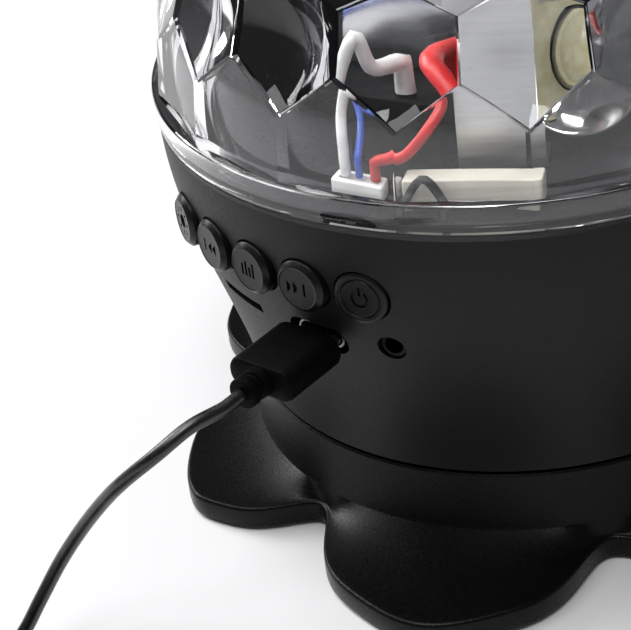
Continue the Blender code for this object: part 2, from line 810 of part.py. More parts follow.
def body_shell():
    made = turned("body_shell", shell_rings(), black_plastic(), steps=SHELL_SIDES)
    depth = SHELL_WALL + OVERRUN
    for index in range(BUTTON_COUNT):
        hole = disc(
            f"button_hole_{index + 1}",
            BUTTON_RADIUS + GAP,
            -depth - OVERRUN,
            depth,
            black_plastic(),
            place=outward(button_azimuth(index), shell_radius(BUTTON_Z), BUTTON_Z),
            helper=True,
        )
        cut(made, hole)
    openings = (
        ("usb_opening", USB_AZIMUTH, USB_Z, USB_OPENING_WIDTH, USB_OPENING_HEIGHT, USB_OPENING_HEIGHT / 2),
        ("card_opening", CARD_AZIMUTH, CARD_Z, CARD_SLOT_WIDTH, CARD_SLOT_HEIGHT, CARD_SLOT_HEIGHT / 4),
        ("jack_opening", JACK_AZIMUTH, JACK_Z, 2 * JACK_HOLE_RADIUS, 2 * JACK_HOLE_RADIUS, JACK_HOLE_RADIUS),
    )
    for name, azimuth, z, width, height, radius in openings:
        outline = rounded_outline(width, height, radius)
        place = outward(azimuth, shell_radius(z), z)
        cut(made, prism(name, outline, -depth - OVERRUN, depth, black_plastic(), place, helper=True))


def deck_plate():
    radius = DOME_INNER_RADIUS - DECK_MARGIN
    made = disc("deck_plate", radius, DECK_BOTTOM_Z, DECK_TOP_Z, black_plastic(), steps=64)
    hole = disc(
        "wire_hole",
        WIRE_HOLE_RADIUS,
        DECK_BOTTOM_Z - OVERRUN,
        DECK_TOP_Z + OVERRUN,
        black_plastic(),
        steps=20,
        place=upright(WIRE_HOLE_AZIMUTH, WIRE_HOLE_PLACE, 0),
        helper=True,
    )
    cut(made, hole)


def facet_directions():
    """The middle of each facet, in rows from the ledge to the crown."""
    directions = []
    for count, elevation, turn in zip(FACET_ROW_COUNTS, FACET_ROW_ELEVATIONS, FACET_ROW_TURNS):
        for index in range(count):
            azimuth = math.radians(FACET_START_AZIMUTH + 360 / count * (index + turn))
            rise = math.radians(elevation)
            level = math.cos(rise)
            directions.append(Vector((level * math.cos(azimuth), level * math.sin(azimuth), math.sin(rise))))
    return directions


def slice_away(mesh_edit, point, direction):
    """Cuts off what lies past a plane and closes the cut."""
    everything = mesh_edit.verts[:] + mesh_edit.edges[:] + mesh_edit.faces[:]
    sliced = bmesh.ops.bisect_plane(
        mesh_edit, geom=everything, plane_co=point, plane_no=direction, clear_outer=True, dist=1e-7
    )
    rim = [item for item in sliced["geom_cut"] if isinstance(item, bmesh.types.BMEdge)]
    if rim:
        bmesh.ops.contextual_create(mesh_edit, geom=rim)


def faceted_crystal():
    """The dome's outside: a ball cut flat once for each facet, and cut off level inside the skirt."""
    mesh_edit = bmesh.new()
    centre = Vector((0, 0, SPHERE_Z))
    bmesh.ops.create_cube(mesh_edit, size=4 * FACET_INRADIUS, matrix=Matrix.Translation(centre))
    slice_away(mesh_edit, Vector((0, 0, SKIRT_MIDDLE_Z - SKIRT_CROWN_HEIGHT)), Vector((0, 0, -1)))
    for direction in facet_directions():
        slice_away(mesh_edit, centre + direction * FACET_INRADIUS, direction)
    return mesh_edit


def crystal_dome():
    made = add_mesh("crystal_dome", faceted_crystal(), clear_plastic())
    made.data.shade_flat()
    skirt_rings = (
        (0, SKIRT_BOTTOM_Z),
        (SKIRT_BASE_RADIUS - SKIRT_ROUND, SKIRT_BOTTOM_Z),
        (SKIRT_BASE_RADIUS, SKIRT_BOTTOM_Z + SKIRT_ROUND),
        (SKIRT_RADIUS, SKIRT_MIDDLE_Z),
        (SKIRT_RADIUS, DOME_LEDGE_Z - SKIRT_ROUND),
        (SKIRT_LEDGE_RADIUS, DOME_LEDGE_Z),
        (0, DOME_LEDGE_Z),
    )
    fuse(made, turned("skirt_form", skirt_rings, clear_plastic(), steps=SHELL_SIDES, helper=True))
    hollow_rings = [(0, SKIRT_BOTTOM_Z - OVERRUN), (DOME_INNER_RADIUS, SKIRT_BOTTOM_Z - OVERRUN)]
    rows = 6
    for row in range(rows):
        angle = math.pi / 2 * row / rows
        hollow_rings.append((DOME_INNER_RADIUS * math.cos(angle), SPHERE_Z + DOME_INNER_RADIUS * math.sin(angle)))
    hollow_rings.append((0, SPHERE_Z + DOME_INNER_RADIUS))
    cut(made, turned("dome_hollow", hollow_rings, clear_plastic(), steps=40, helper=True))
    boss_bottom = HUB_TOP_Z + GAP
    boss_top = DOME_TOP_Z - DOME_WALL / 2
    fuse(made, disc("dome_boss", DOME_BOSS_RADIUS, boss_bottom, boss_top, clear_plastic(), helper=True))


def dome_drive():
    hub_bottom = HUB_TOP_Z - HUB_HEIGHT
    bore_radius = SHAFT_RADIUS + GAP
    bore_top = hub_bottom + HUB_BORE_DEPTH
    flange_bottom = HUB_TOP_Z - HUB_FLANGE_HEIGHT
    rings = (
        (0, bore_top),
        (bore_radius, bore_top),
        (bore_radius, hub_bottom),
        (HUB_RADIUS, hub_bottom),
        (HUB_RADIUS, flange_bottom),
        (HUB_FLANGE_RADIUS, flange_bottom),
        (HUB_FLANGE_RADIUS, HUB_TOP_Z),
        (0, HUB_TOP_Z),
    )
    turned("dome_hub", rings, white_plastic())
    disc("drive_shaft", SHAFT_RADIUS, GEARBOX_TOP_Z + GAP, bore_top - GAP, bright_metal(), steps=20)
    disc("gearbox", GEARBOX_RADIUS, GEARBOX_BOTTOM_Z, GEARBOX_TOP_Z, brushed_steel())
    motor_top = GEARBOX_BOTTOM_Z - GAP
    disc("motor", MOTOR_RADIUS, motor_top - MOTOR_HEIGHT, motor_top, brushed_steel())


def tripod_leg(name, azimuth):
    """One strip of the bracket: a foot on the deck, an upright and an arm in to the middle."""
    low = ON_DECK_Z
    inner = TRIPOD_LEG_RADIUS - TRIPOD_THICKNESS
    arm_low = TRIPOD_TOP_Z - TRIPOD_THICKNESS
    foot_end = inner - TRIPOD_FOOT_LENGTH
    side = (
        (foot_end, low),
        (TRIPOD_LEG_RADIUS, low),
        (TRIPOD_LEG_RADIUS, TRIPOD_TOP_Z),
        (TRIPOD_DISC_RADIUS / 2, TRIPOD_TOP_Z),
        (TRIPOD_DISC_RADIUS / 2, arm_low),
        (inner, arm_low),
        (inner, low + TRIPOD_THICKNESS),
        (foot_end, low + TRIPOD_THICKNESS),
    )
    stand = Matrix.Rotation(math.radians(azimuth), 4, "Z") @ Matrix.Rotation(math.pi / 2, 4, "X")
    return prism(name, side, -TRIPOD_LEG_WIDTH / 2, TRIPOD_LEG_WIDTH / 2, brushed_steel(), stand)


def motor_bracket():
    azimuths = [TRIPOD_AZIMUTH + 120 * index for index in range(3)]
    made = tripod_leg("motor_bracket", azimuths[0])
    for index, azimuth in enumerate(azimuths[1:]):
        fuse(made, tripod_leg(f"bracket_leg_{index + 2}", azimuth))
    low = TRIPOD_TOP_Z - TRIPOD_THICKNESS - TRIPOD_DISC_MARGIN
    high = TRIPOD_TOP_Z + TRIPOD_DISC_MARGIN
    fuse(made, disc("bracket_disc", TRIPOD_DISC_RADIUS, low, high, brushed_steel(), helper=True))
    hole_low = low - OVERRUN
    hole_high = high + OVERRUN
    cut(made, disc("bracket_hole", TRIPOD_HOLE_RADIUS, hole_low, hole_high, brushed_steel(), 20, helper=True))
    for index, azimuth in enumerate(azimuths):
        place = upright(azimuth, TRIPOD_LEG_RADIUS - TRIPOD_THICKNESS - TRIPOD_FOOT_LENGTH / 2, ON_DECK_Z)
        rivet_top = TRIPOD_THICKNESS + RIVET_HEIGHT
        rivet = disc(
            f"rivet_{index + 1}", RIVET_RADIUS, TRIPOD_THICKNESS / 2, rivet_top, brushed_steel(), 12, place, helper=True
        )
        fuse(made, rivet)


def lamp_place(azimuth):
    turn = Matrix.Rotation(math.radians(azimuth), 4, "Z") @ Matrix.Rotation(math.radians(LAMP_TILT), 4, "Y")
    return Matrix.Translation(polar(LAMP_PLACE, azimuth, ON_DECK_Z + LAMP_HEIGHT)) @ turn


def cup_inside(depth):
    """The cup's inner radius at a depth measured along the lamp's axis from its back."""
    share = depth / CUP_DEPTH
    return CUP_BACK_RADIUS + (CUP_RIM_RADIUS - CUP_BACK_RADIUS) * share - CUP_WALL


def lamp(index, azimuth):
    place = lamp_place(azimuth)
    rings = ((0, 0), (CUP_BACK_RADIUS, 0), (CUP_RIM_RADIUS, CUP_DEPTH), (0, CUP_DEPTH))
    cup = turned(f"lamp_cup_{index}", rings, black_plastic(), place=place)
    stand_top = LAMP_HEIGHT + CUP_FLOOR / 2
    stand = disc(
        f"lamp_stand_{index}",
        PEDESTAL_RADIUS,
        0,
        stand_top,
        black_plastic(),
        steps=20,
        place=upright(azimuth, LAMP_PLACE, ON_DECK_Z),
        helper=True,
    )
    fuse(cup, stand)
    past = CUP_DEPTH + OVERRUN
    rings = ((0, CUP_FLOOR), (cup_inside(CUP_FLOOR), CUP_FLOOR), (cup_inside(past), past), (0, past))
    cut(cup, turned(f"cup_hollow_{index}", rings, black_plastic(), place=place, helper=True))
    low = CUP_FLOOR + GAP
    high = CUP_DEPTH - REFLECTOR_RECESS
    side_gap = GAP * 1.5
    neck = EMITTER_RADIUS + GAP
    rings = (
        (neck, low),
        (cup_inside(low) - side_gap, low),
        (cup_inside(high) - side_gap, high),
        (cup_inside(high) - side_gap - REFLECTOR_WALL, high),
        (cup_inside(low + REFLECTOR_WALL) - side_gap - REFLECTOR_WALL, low + REFLECTOR_WALL),
        (neck, low + REFLECTOR_WALL),
    )
    turned(f"reflector_{index}", rings, bright_metal(), place=place)
    crown = low + EMITTER_HEIGHT
    shoulder = low + EMITTER_BASE_HEIGHT
    rings = (
        (0, low),
        (EMITTER_RADIUS, low),
        (EMITTER_RADIUS, shoulder),
        (EMITTER_RADIUS * math.cos(math.pi / 4), (shoulder + crown) / 2 + EMITTER_BASE_HEIGHT / 4),
        (0, crown),
    )
    turned(f"emitter_{index}", rings, emitter_yellow(), steps=12, place=place)


def lamps():
    for index in range(LAMP_COUNT):
        lamp(index + 1, LAMP_AZIMUTH + 360 / LAMP_COUNT * index)


def rounded_block(name, width, depth, height, finish, place):
    """A block that stands at its place, its upright edges round."""
    return prism(name, rounded_outline(width, depth, EDGE_ROUND, 2), 0, height, finish, place)


def deck_pieces():
    rounded_block(
        "terminal_block",
        TERMINAL_WIDTH,
        TERMINAL_DEPTH,
        TERMINAL_HEIGHT,
        white_plastic(),
        upright(TERMINAL_AZIMUTH, TERMINAL_PLACE, ON_DECK_Z),
    )
    rounded_block(
        "wire_connector",
        CONNECTOR_WIDTH,
        CONNECTOR_DEPTH,
        CONNECTOR_HEIGHT,
        white_plastic(),
        upright(CONNECTOR_AZIMUTH, CONNECTOR_PLACE, ON_DECK_Z),
    )
    rounded_block(
        "lamp_driver",
        DRIVER_WIDTH,
        DRIVER_DEPTH,
        DRIVER_HEIGHT,
        black_plastic(),
        upright(DRIVER_AZIMUTH, DRIVER_PLACE, ON_DECK_Z),
    )
    heatsink_place = DRIVER_PLACE - (DRIVER_DEPTH - HEATSINK_THICKNESS) / 2
    rounded_block(
        "driver_heatsink",
        HEATSINK_WIDTH,
        HEATSINK_THICKNESS,
        HEATSINK_HEIGHT,
        brushed_steel(),
        upright(DRIVER_AZIMUTH, heatsink_place, ON_DECK_Z + DRIVER_HEIGHT + GAP),
    )


def lead_end(radius, azimuth, top, rise=WIRE_STEP):
    """The two points of a wire's end that stands on a piece whose top is at this height."""
    foot = polar(radius, azimuth, top + GAP)
    return [foot, foot + Vector((0, 0, rise))]


def wires():
    """Loose leads between the pieces on the deck and the motor. Each ends a gap off the piece that it meets."""
    terminal_top = ON_DECK_Z + TERMINAL_HEIGHT
    connector_top = ON_DECK_Z + CONNECTOR_HEIGHT
    driver_top = ON_DECK_Z + DRIVER_HEIGHT
    beside_motor = MOTOR_RADIUS + WIRE_RADIUS + GAP
    motor_end = GEARBOX_BOTTOM_Z - MOTOR_HEIGHT / 2
    arch = 2 * TERMINAL_HEIGHT
    red = lead_end(CONNECTOR_PLACE, CONNECTOR_AZIMUTH + 3.5, connector_top)
    red += [
        polar(TERMINAL_PLACE, TERMINAL_AZIMUTH - 11.5, terminal_top + arch / 3),
        polar(TERMINAL_PLACE - TERMINAL_DEPTH / 2, TERMINAL_AZIMUTH - 7.5, driver_top - arch / 5),
        polar(DRIVER_PLACE + DRIVER_DEPTH, TERMINAL_AZIMUTH - 5.5, driver_top + arch / 6),
        polar(DRIVER_PLACE + DRIVER_DEPTH / 2, DRIVER_AZIMUTH + 8, driver_top + arch / 2),
    ]
    red += lead_end(DRIVER_PLACE, DRIVER_AZIMUTH + 7, driver_top)[::-1]
    in_front = TERMINAL_PLACE + TERMINAL_DEPTH / 2 + WIRE_RADIUS + 4 * GAP
    black = lead_end(in_front, TERMINAL_AZIMUTH - 10.5, DECK_TOP_Z, WIRE_STEP / 2)
    black += [polar(in_front, TERMINAL_AZIMUTH - 7, DECK_TOP_Z + 2 * WIRE_STEP)]
    black += lead_end(in_front, TERMINAL_AZIMUTH - 3.5, DECK_TOP_Z, WIRE_STEP / 2)[::-1]
    white = lead_end(CONNECTOR_PLACE, CONNECTOR_AZIMUTH - 3, connector_top)
    white += [
        polar(DRIVER_PLACE + 4 / 3 * DRIVER_DEPTH, CONNECTOR_AZIMUTH - 4.5, driver_top),
        polar(DRIVER_PLACE + DRIVER_DEPTH, CONNECTOR_AZIMUTH - 1.5, driver_top + arch),
        polar(DRIVER_PLACE + 3 / 4 * DRIVER_DEPTH, DRIVER_AZIMUTH, driver_top + arch / 2),
    ]
    white += lead_end(DRIVER_PLACE + DRIVER_DEPTH / 4, DRIVER_AZIMUTH + 2.5, driver_top)[::-1]
    blue = lead_end(CONNECTOR_PLACE, CONNECTOR_AZIMUTH, connector_top)
    blue += [
        polar(DRIVER_PLACE + DRIVER_DEPTH, DRIVER_AZIMUTH - 2.5, driver_top - arch / 4),
        polar(DRIVER_PLACE + DRIVER_DEPTH / 2, DRIVER_AZIMUTH - 9, driver_top + arch / 3),
        polar(DRIVER_PLACE - DRIVER_DEPTH / 3, DRIVER_AZIMUTH - 18, driver_top + arch / 3),
        polar(DRIVER_PLACE / 2, DRIVER_AZIMUTH - 18, driver_top + arch / 3),
        polar(beside_motor, DRIVER_AZIMUTH - 18, driver_top + WIRE_STEP),
        polar(beside_motor, DRIVER_AZIMUTH - 18, motor_end),
    ]
    red_finish = material("wire_red", (0.72, 0.04, 0.03), 0.4)
    black_finish = material("wire_black", (0.02, 0.02, 0.022), 0.4)
    white_finish = material("wire_white", (0.85, 0.85, 0.84), 0.4)
    blue_finish = material("wire_blue", (0.03, 0.12, 0.62), 0.4)
    for name, points, radius, finish in (
        ("wire_red", red, THICK_WIRE_RADIUS, red_finish),
        ("wire_black", black, WIRE_RADIUS, black_finish),
        ("wire_white", white, THICK_WIRE_RADIUS, white_finish),
        ("wire_blue", blue, WIRE_RADIUS, blue_finish),
    ):
        tube(name, smooth_route(points, WIRE_STEP), radius, finish, resolution=1)


def battery():
    tray_top = DECK_BOTTOM_Z - GAP
    pocket_depth = 2 * BATTERY_RADIUS + 2 * GAP
    pocket_floor = tray_top - pocket_depth
    width = BATTERY_LENGTH + 2 * GAP
    depth = 2 * BATTERY_RADIUS + 2 * GAP
    tray_outline = rounded_outline(width + 2 * TRAY_WALL, depth + 2 * TRAY_WALL, TRAY_WALL, 2)
    place = Matrix.Translation((0, BATTERY_BACK_SET, 0))
    tray_bottom = pocket_floor - TRAY_WALL
    made = prism("battery_tray", tray_outline, tray_bottom, tray_top, black_plastic(), place)
    pocket = rectangle(width, depth)
    cut(made, prism("battery_pocket", pocket, pocket_floor, tray_top + OVERRUN, black_plastic(), place, helper=True))
    centre = Matrix.Translation((-BATTERY_LENGTH / 2, BATTERY_BACK_SET, pocket_floor + GAP + BATTERY_RADIUS))
    lay_along_x = centre @ Matrix.Rotation(math.pi / 2, 4, "Y")
    disc("battery_cell", BATTERY_RADIUS, 0, BATTERY_LENGTH, battery_wrap(), 24, lay_along_x)


def button_azimuth(index):
    return FRONT_AZIMUTH + BUTTON_PITCH_DEGREES * (index - (BUTTON_COUNT - 1) / 2)


def tab_face():
    """How far out the buttons' retaining tabs stand: a gap inside the wall at its narrowest place there."""
    reach = BUTTON_RADIUS + GAP + TAB_REACH
    return wall_seat(BUTTON_Z - reach, TAB_WIDTH / 2) - GAP / 3


def stem_end(azimuth):
    """Where a button's stem ends, a full travel and a gap in front of its switch."""
    aside = math.radians(abs(azimuth - FRONT_AZIMUTH))
    clear = SWITCH_FRONT + BUTTON_TRAVEL + GAP
    return (clear + STEM_RADIUS * math.sin(aside)) / math.cos(aside)


BUTTON_NAMES = ("light", "previous", "mode", "next", "power")


def buttons():
    for index, name in enumerate(BUTTON_NAMES[:BUTTON_COUNT]):
        azimuth = button_azimuth(index)
        face = shell_radius(BUTTON_Z)
        proud = POWER_PROUD if name == "power" else BUTTON_PROUD
        place = outward(azimuth, face, BUTTON_Z)
        back = tab_face() - face - TAB_THICKNESS
        rings = (
            (0, back),
            (BUTTON_RADIUS - BUTTON_CHAMFER, back),
            (BUTTON_RADIUS - BUTTON_CHAMFER, back + TAB_THICKNESS),
            (BUTTON_RADIUS, back + TAB_THICKNESS + GAP),
            (BUTTON_RADIUS, proud - BUTTON_CHAMFER),
            (BUTTON_RADIUS - BUTTON_CHAMFER, proud),
            (0, proud),
        )
        made = turned(f"button_{name}", rings, black_plastic(), place=place)
        reach = 2 * (BUTTON_RADIUS + GAP + TAB_REACH)
        tab_outline = rectangle(TAB_WIDTH, reach)
        tab_low = back + GAP
        tab_high = back + TAB_THICKNESS
        fuse(made, prism(f"tab_{name}", tab_outline, tab_low, tab_high, black_plastic(), place, helper=True))
        low = stem_end(azimuth) - face
        high = back + TAB_THICKNESS / 2
        fuse(made, disc(f"stem_{name}", STEM_RADIUS, low, high, black_plastic(), 12, place, helper=True))


def main_board():
    radius = wall_reach(MAIN_BOARD_BOTTOM_Z)
    start = -180 - BOARD_BACK_DEGREES
    sweep = 180 + 2 * BOARD_BACK_DEGREES
    steps = 36
    outline = []
    for step in range(steps + 1):
        edge = polar(radius, start + sweep * step / steps, 0)
        outline.append((edge.x, edge.y))
    prism("main_board", outline, MAIN_BOARD_BOTTOM_Z, MAIN_BOARD_TOP_Z, board_green())


def button_board():
    """An upright board on two legs, with a switch behind each button."""
    middle_z = BUTTON_Z
    low = middle_z - KEY_BOARD_HEIGHT / 2
    high = middle_z + KEY_BOARD_HEIGHT / 2
    half = KEY_BOARD_WIDTH / 2
    leg = half - KEY_BOARD_LEG_WIDTH
    outline = (
        (-half, ON_BOARD_Z),
        (-leg, ON_BOARD_Z),
        (-leg, low),
        (leg, low),
        (leg, ON_BOARD_Z),
        (half, ON_BOARD_Z),
        (half, high),
        (-half, high),
    )
    front = SWITCH_FRONT - SWITCH_DEPTH
    face_front = Matrix.Rotation(math.pi / 2, 4, "X")
    made = prism("button_board", outline, front - BOARD_THICKNESS, front, board_green(), face_front)
    for index in range(BUTTON_COUNT):
        aside = math.radians(button_azimuth(index) - FRONT_AZIMUTH)
        place = face_front @ Matrix.Translation((SWITCH_FRONT * math.tan(aside), middle_z, 0))
        outline = rectangle(SWITCH_SIZE, SWITCH_SIZE)
        low_end = front - BOARD_THICKNESS / 2
        fuse(made, prism(f"switch_{index + 1}", outline, low_end, SWITCH_FRONT, board_green(), place, helper=True))


def usb_socket():
    width = PLUG_SHELL_WIDTH + 2 * GAP + 2 * USB_SOCKET_WALL
    mouth = shell_radius(USB_Z) - USB_SOCKET_INSET
    place = outward(USB_AZIMUTH, mouth, USB_Z)
    outline = rounded_outline(width, USB_SOCKET_HEIGHT, USB_SOCKET_HEIGHT / 2)
    made = prism("usb_socket", outline, -USB_SOCKET_DEPTH, 0, bright_metal(), place)
    pocket_height = PLUG_SHELL_HEIGHT + 2 * GAP
    pocket = rounded_outline(PLUG_SHELL_WIDTH + 2 * GAP, pocket_height, pocket_height / 2)
    cut(made, prism("usb_pocket", pocket, -USB_SOCKET_POCKET, OVERRUN, bright_metal(), place, helper=True))


def card_socket():
    half = CARD_SOCKET_WIDTH / 2
    place = outward(CARD_AZIMUTH, wall_seat(ON_BOARD_Z, half), CARD_Z)
    low = ON_BOARD_Z - CARD_Z
    outline = ((-half, low), (half, low), (half, CARD_SOCKET_ABOVE), (-half, CARD_SOCKET_ABOVE))
    made = prism("card_socket", outline, -CARD_SOCKET_DEPTH, 0, bright_metal(), place)
    pocket = rectangle(CARD_POCKET_WIDTH, CARD_POCKET_HEIGHT)
    cut(made, prism("card_pocket", pocket, -CARD_POCKET_DEPTH, OVERRUN, bright_metal(), place, helper=True))


def audio_jack():
    half = JACK_WIDTH / 2
    front = wall_seat(ON_BOARD_Z, half)
    place = outward(JACK_AZIMUTH, front, JACK_Z)
    low = ON_BOARD_Z - JACK_Z
    outline = ((-half, low), (half, low), (half, JACK_ABOVE), (-half, JACK_ABOVE))
    made = prism("audio_jack", outline, -JACK_DEPTH, 0, black_plastic(), place)
    nose_end = shell_radius(JACK_Z) - JACK_NOSE_INSET - front
    nose_start = -JACK_DEPTH / 4
    fuse(made, disc("jack_nose", JACK_NOSE_RADIUS, nose_start, nose_end, black_plastic(), 24, place, helper=True))
    bore_low = nose_end - JACK_BORE_DEPTH
    bore_high = nose_end + OVERRUN
    cut(made, disc("jack_bore", JACK_BORE_RADIUS, bore_low, bore_high, black_plastic(), 16, place, helper=True))


def plug_front():
    return shell_radius(USB_Z) + PLUG_STANDOFF


def plug_end():
    """How far out the cord leaves the device plug."""
    return plug_front() + PLUG_LENGTH + sum(COLLAR_LENGTHS)


def device_plug():
    place = outward(USB_AZIMUTH, plug_front(), USB_Z)
    mesh_edit = bmesh.new()
    sections = (
        (PLUG_ROUND, 0),
        (0, PLUG_ROUND),
        (0, PLUG_LENGTH - PLUG_ROUND),
        (PLUG_ROUND, PLUG_LENGTH),
    )
    loops = []
    for inset, z in sections:
        outline = rounded_outline(PLUG_WIDTH - 2 * inset, PLUG_HEIGHT - 2 * inset, PLUG_HEIGHT / 2 - inset, 6)
        loops.append([mesh_edit.verts.new((x, y, z)) for x, y in outline])
    for low, high in zip(loops, loops[1:]):
        for index in range(len(low)):
            following = (index + 1) % len(low)
            mesh_edit.faces.new((low[index], low[following], high[following], high[index]))
    mesh_edit.faces.new(loops[0])
    mesh_edit.faces.new(loops[-1])
    bmesh.ops.remove_doubles(mesh_edit, verts=mesh_edit.verts[:], dist=1e-6)
    made = add_mesh("usb_plug_body", mesh_edit, black_rubber(), place)
    first, groove, last = COLLAR_LENGTHS
    level = PLUG_LENGTH
    rings = (
        (0, level - PLUG_ROUND),
        (COLLAR_RADIUS, level - PLUG_ROUND),
        (COLLAR_RADIUS, level + first),
        (NECK_RADIUS, level + first),
        (NECK_RADIUS, level + first + groove),
        (COLLAR_RADIUS, level + first + groove),
        (COLLAR_RADIUS, level + first + groove + last),
        (0, level + first + groove + last),
    )
    fuse(made, turned("plug_collars", rings, black_rubber(), place=place, helper=True))
    reach = PLUG_STANDOFF + USB_SOCKET_INSET + PLUG_SHELL_INSERTED
    outline = rounded_outline(PLUG_SHELL_WIDTH, PLUG_SHELL_HEIGHT, PLUG_SHELL_HEIGHT / 2)
    prism("usb_plug_shell", outline, -reach, -GAP, bright_metal(), place)


def coil_points():
    """The wound length: it spirals in and out again in level layers, and climbs where it turns back."""
    turns_per_layer = COIL_TURNS / COIL_LAYERS
    climb_turns = 0.5
    count = round(COIL_TURNS * COIL_POINTS_PER_TURN)
    points = []
    for step in range(count + 1):
        turn = COIL_TURNS * step / count
        layer = min(int(turn / turns_per_layer), COIL_LAYERS - 1)
        along = turn / turns_per_layer - layer
        inward = along if layer % 2 == 0 else 1 - along
        radius = COIL_OUTER_RADIUS - COIL_SPREAD * inward
        level = 0.0
        for edge in range(1, COIL_LAYERS):
            climb = (turn - edge * turns_per_layer) / climb_turns + 0.5
            climb = min(1.0, max(0.0, climb))
            level += climb * climb * (3 - 2 * climb)
        angle = math.pi + 2 * math.pi * turn
        points.append(
            Vector(
                (
                    COIL_CENTRE[0] + radius * math.cos(angle),
                    COIL_CENTRE[1] + radius * math.sin(angle),
                    COIL_BOTTOM_Z + COIL_PITCH * level,
                )
            )
        )
    return points


def least_gap(points, radius):
    """The least distance between the surfaces of parts of a tube that are not next to each other."""
    least = math.inf
    skip = COIL_POINTS_PER_TURN // 2
    for index, point in enumerate(points):
        for other in points[index + skip :]:
            least = min(least, (other - point).length)
    return least - 2 * radius


def cord():
    exit_radius = plug_end() + GAP
    start = polar(exit_radius, USB_AZIMUTH, USB_Z)
    straight = polar(exit_radius + CORD_STEP, USB_AZIMUTH, USB_Z)
    wound = coil_points()
    lead = wound[0] + Vector((0, 2 * CORD_RADIUS, 0))
    joint = lead + Vector((0, GAP, 0))
    lead_in = joint + Vector((0, CORD_STEP, 0))
    free = smooth_route([start, straight] + list(CORD_ROUTE) + [lead_in, joint], CORD_STEP)
    tube("usb_cord", free, CORD_RADIUS, black_rubber())
    tail_end = far_plug_place()
    tail_lead = tail_end - Vector((CORD_STEP, 0, 0))
    tail = smooth_route(wound[-2:] + list(TAIL_ROUTE) + [tail_lead, tail_end], CORD_STEP)
    whole = [lead] + wound + tail[2:]
    tube("usb_cord_coil", whole, CORD_RADIUS, black_rubber(), resolution=1)
    print("cord length", round(route_length(free) + route_length(whole), 4))
    print("coil gap to itself", round(least_gap(whole, CORD_RADIUS), 5))


def far_plug_place():
    """Where the cord's far end meets its plug, which lies on the floor."""
    x, y = FAR_PLUG_PLACE
    return Vector((x, y, FLOOR_CLEARANCE + FAR_PLUG_HEIGHT / 2))


def far_plug():
    place = Matrix.Translation(far_plug_place() + Vector((GAP, 0, 0)))
    along_x = place @ Matrix.Rotation(math.pi / 2, 4, "Y") @ Matrix.Rotation(math.pi / 2, 4, "Z")
    body_end = FAR_NECK_LENGTH + FAR_PLUG_LENGTH
    outline = rounded_outline(FAR_PLUG_WIDTH, FAR_PLUG_HEIGHT, FAR_PLUG_HEIGHT / 4, 3)
    made = prism("far_plug_body", outline, FAR_NECK_LENGTH, body_end, black_rubber(), along_x)
    neck_end = FAR_NECK_LENGTH + PLUG_ROUND
    fuse(made, disc("far_neck", FAR_NECK_RADIUS, 0, neck_end, black_rubber(), 16, along_x, helper=True))
    outline = rectangle(FAR_SHELL_WIDTH, FAR_SHELL_HEIGHT)
    shell_start = body_end + GAP
    prism("far_plug_shell", outline, shell_start, shell_start + FAR_SHELL_LENGTH, bright_metal(), along_x)


def cable_tie():
    """A flat band round the coil's turns."""
    inside_width = COIL_SPREAD + 2 * CORD_RADIUS + 2 * GAP
    inside_height = COIL_PITCH * (COIL_LAYERS - 1) + 2 * CORD_RADIUS + 2 * GAP
    middle_z = COIL_BOTTOM_Z + COIL_PITCH * (COIL_LAYERS - 1) / 2
    angle = math.radians(TIE_AZIMUTH)
    centre = Vector((COIL_CENTRE[0], COIL_CENTRE[1], 0)) + COIL_MIDDLE_RADIUS * Vector((math.cos(angle), math.sin(angle), 0))
    stand = Matrix.Rotation(angle, 4, "Z") @ Matrix.Rotation(math.pi / 2, 4, "X")
    place = Matrix.Translation((centre.x, centre.y, middle_z)) @ stand
    half = TIE_WIDTH / 2
    thick = 2 * TIE_THICKNESS
    outer = rounded_outline(inside_width + thick, inside_height + thick, TIE_THICKNESS, 2)
    made = prism("cable_tie", outer, -half, half, black_plastic(), place)
    inner = rectangle(inside_width, inside_height)
    cut(made, prism("tie_hole", inner, -half - OVERRUN, half + OVERRUN, black_plastic(), place, helper=True))


def main():
    clear_scene()
    flower_base()
    base_plate()
    feet()
    speaker()
    body_shell()
    deck_plate()
    crystal_dome()
    dome_drive()
    motor_bracket()
    lamps()
    deck_pieces()
    wires()
    battery()
    buttons()
    main_board()
    button_board()
    usb_socket()
    card_socket()
    audio_jack()
    device_plug()
    cord()
    far_plug()
    cable_tie()


main()
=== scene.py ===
"""Looks of the projector night light speaker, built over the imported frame.

The frame says where each piece is. Curved pieces are made again here with finer meshes, from the
same sizes as the frame's, and every piece gets its own procedural material. Lengths are in metres
and azimuths in degrees, with the front at -90.
"""

from math import asin, atan2, cos, degrees, hypot, pi, radians, sin

import bmesh
import bpy
from mathutils import Matrix, Vector


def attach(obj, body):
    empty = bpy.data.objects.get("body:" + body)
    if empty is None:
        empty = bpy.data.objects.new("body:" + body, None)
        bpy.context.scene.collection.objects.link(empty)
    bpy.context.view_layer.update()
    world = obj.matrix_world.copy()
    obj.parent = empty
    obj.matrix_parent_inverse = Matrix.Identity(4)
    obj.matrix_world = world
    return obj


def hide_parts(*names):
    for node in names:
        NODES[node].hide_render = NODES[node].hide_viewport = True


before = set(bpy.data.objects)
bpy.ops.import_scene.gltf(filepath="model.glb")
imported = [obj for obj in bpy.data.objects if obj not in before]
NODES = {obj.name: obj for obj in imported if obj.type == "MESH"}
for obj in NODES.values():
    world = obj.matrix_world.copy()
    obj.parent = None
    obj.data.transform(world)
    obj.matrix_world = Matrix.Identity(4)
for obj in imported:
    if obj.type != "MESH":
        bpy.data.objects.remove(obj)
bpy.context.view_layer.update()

TAU = 2 * pi
GAP = 0.0003
FINE = 192
FRONT_AZIMUTH = -90.0

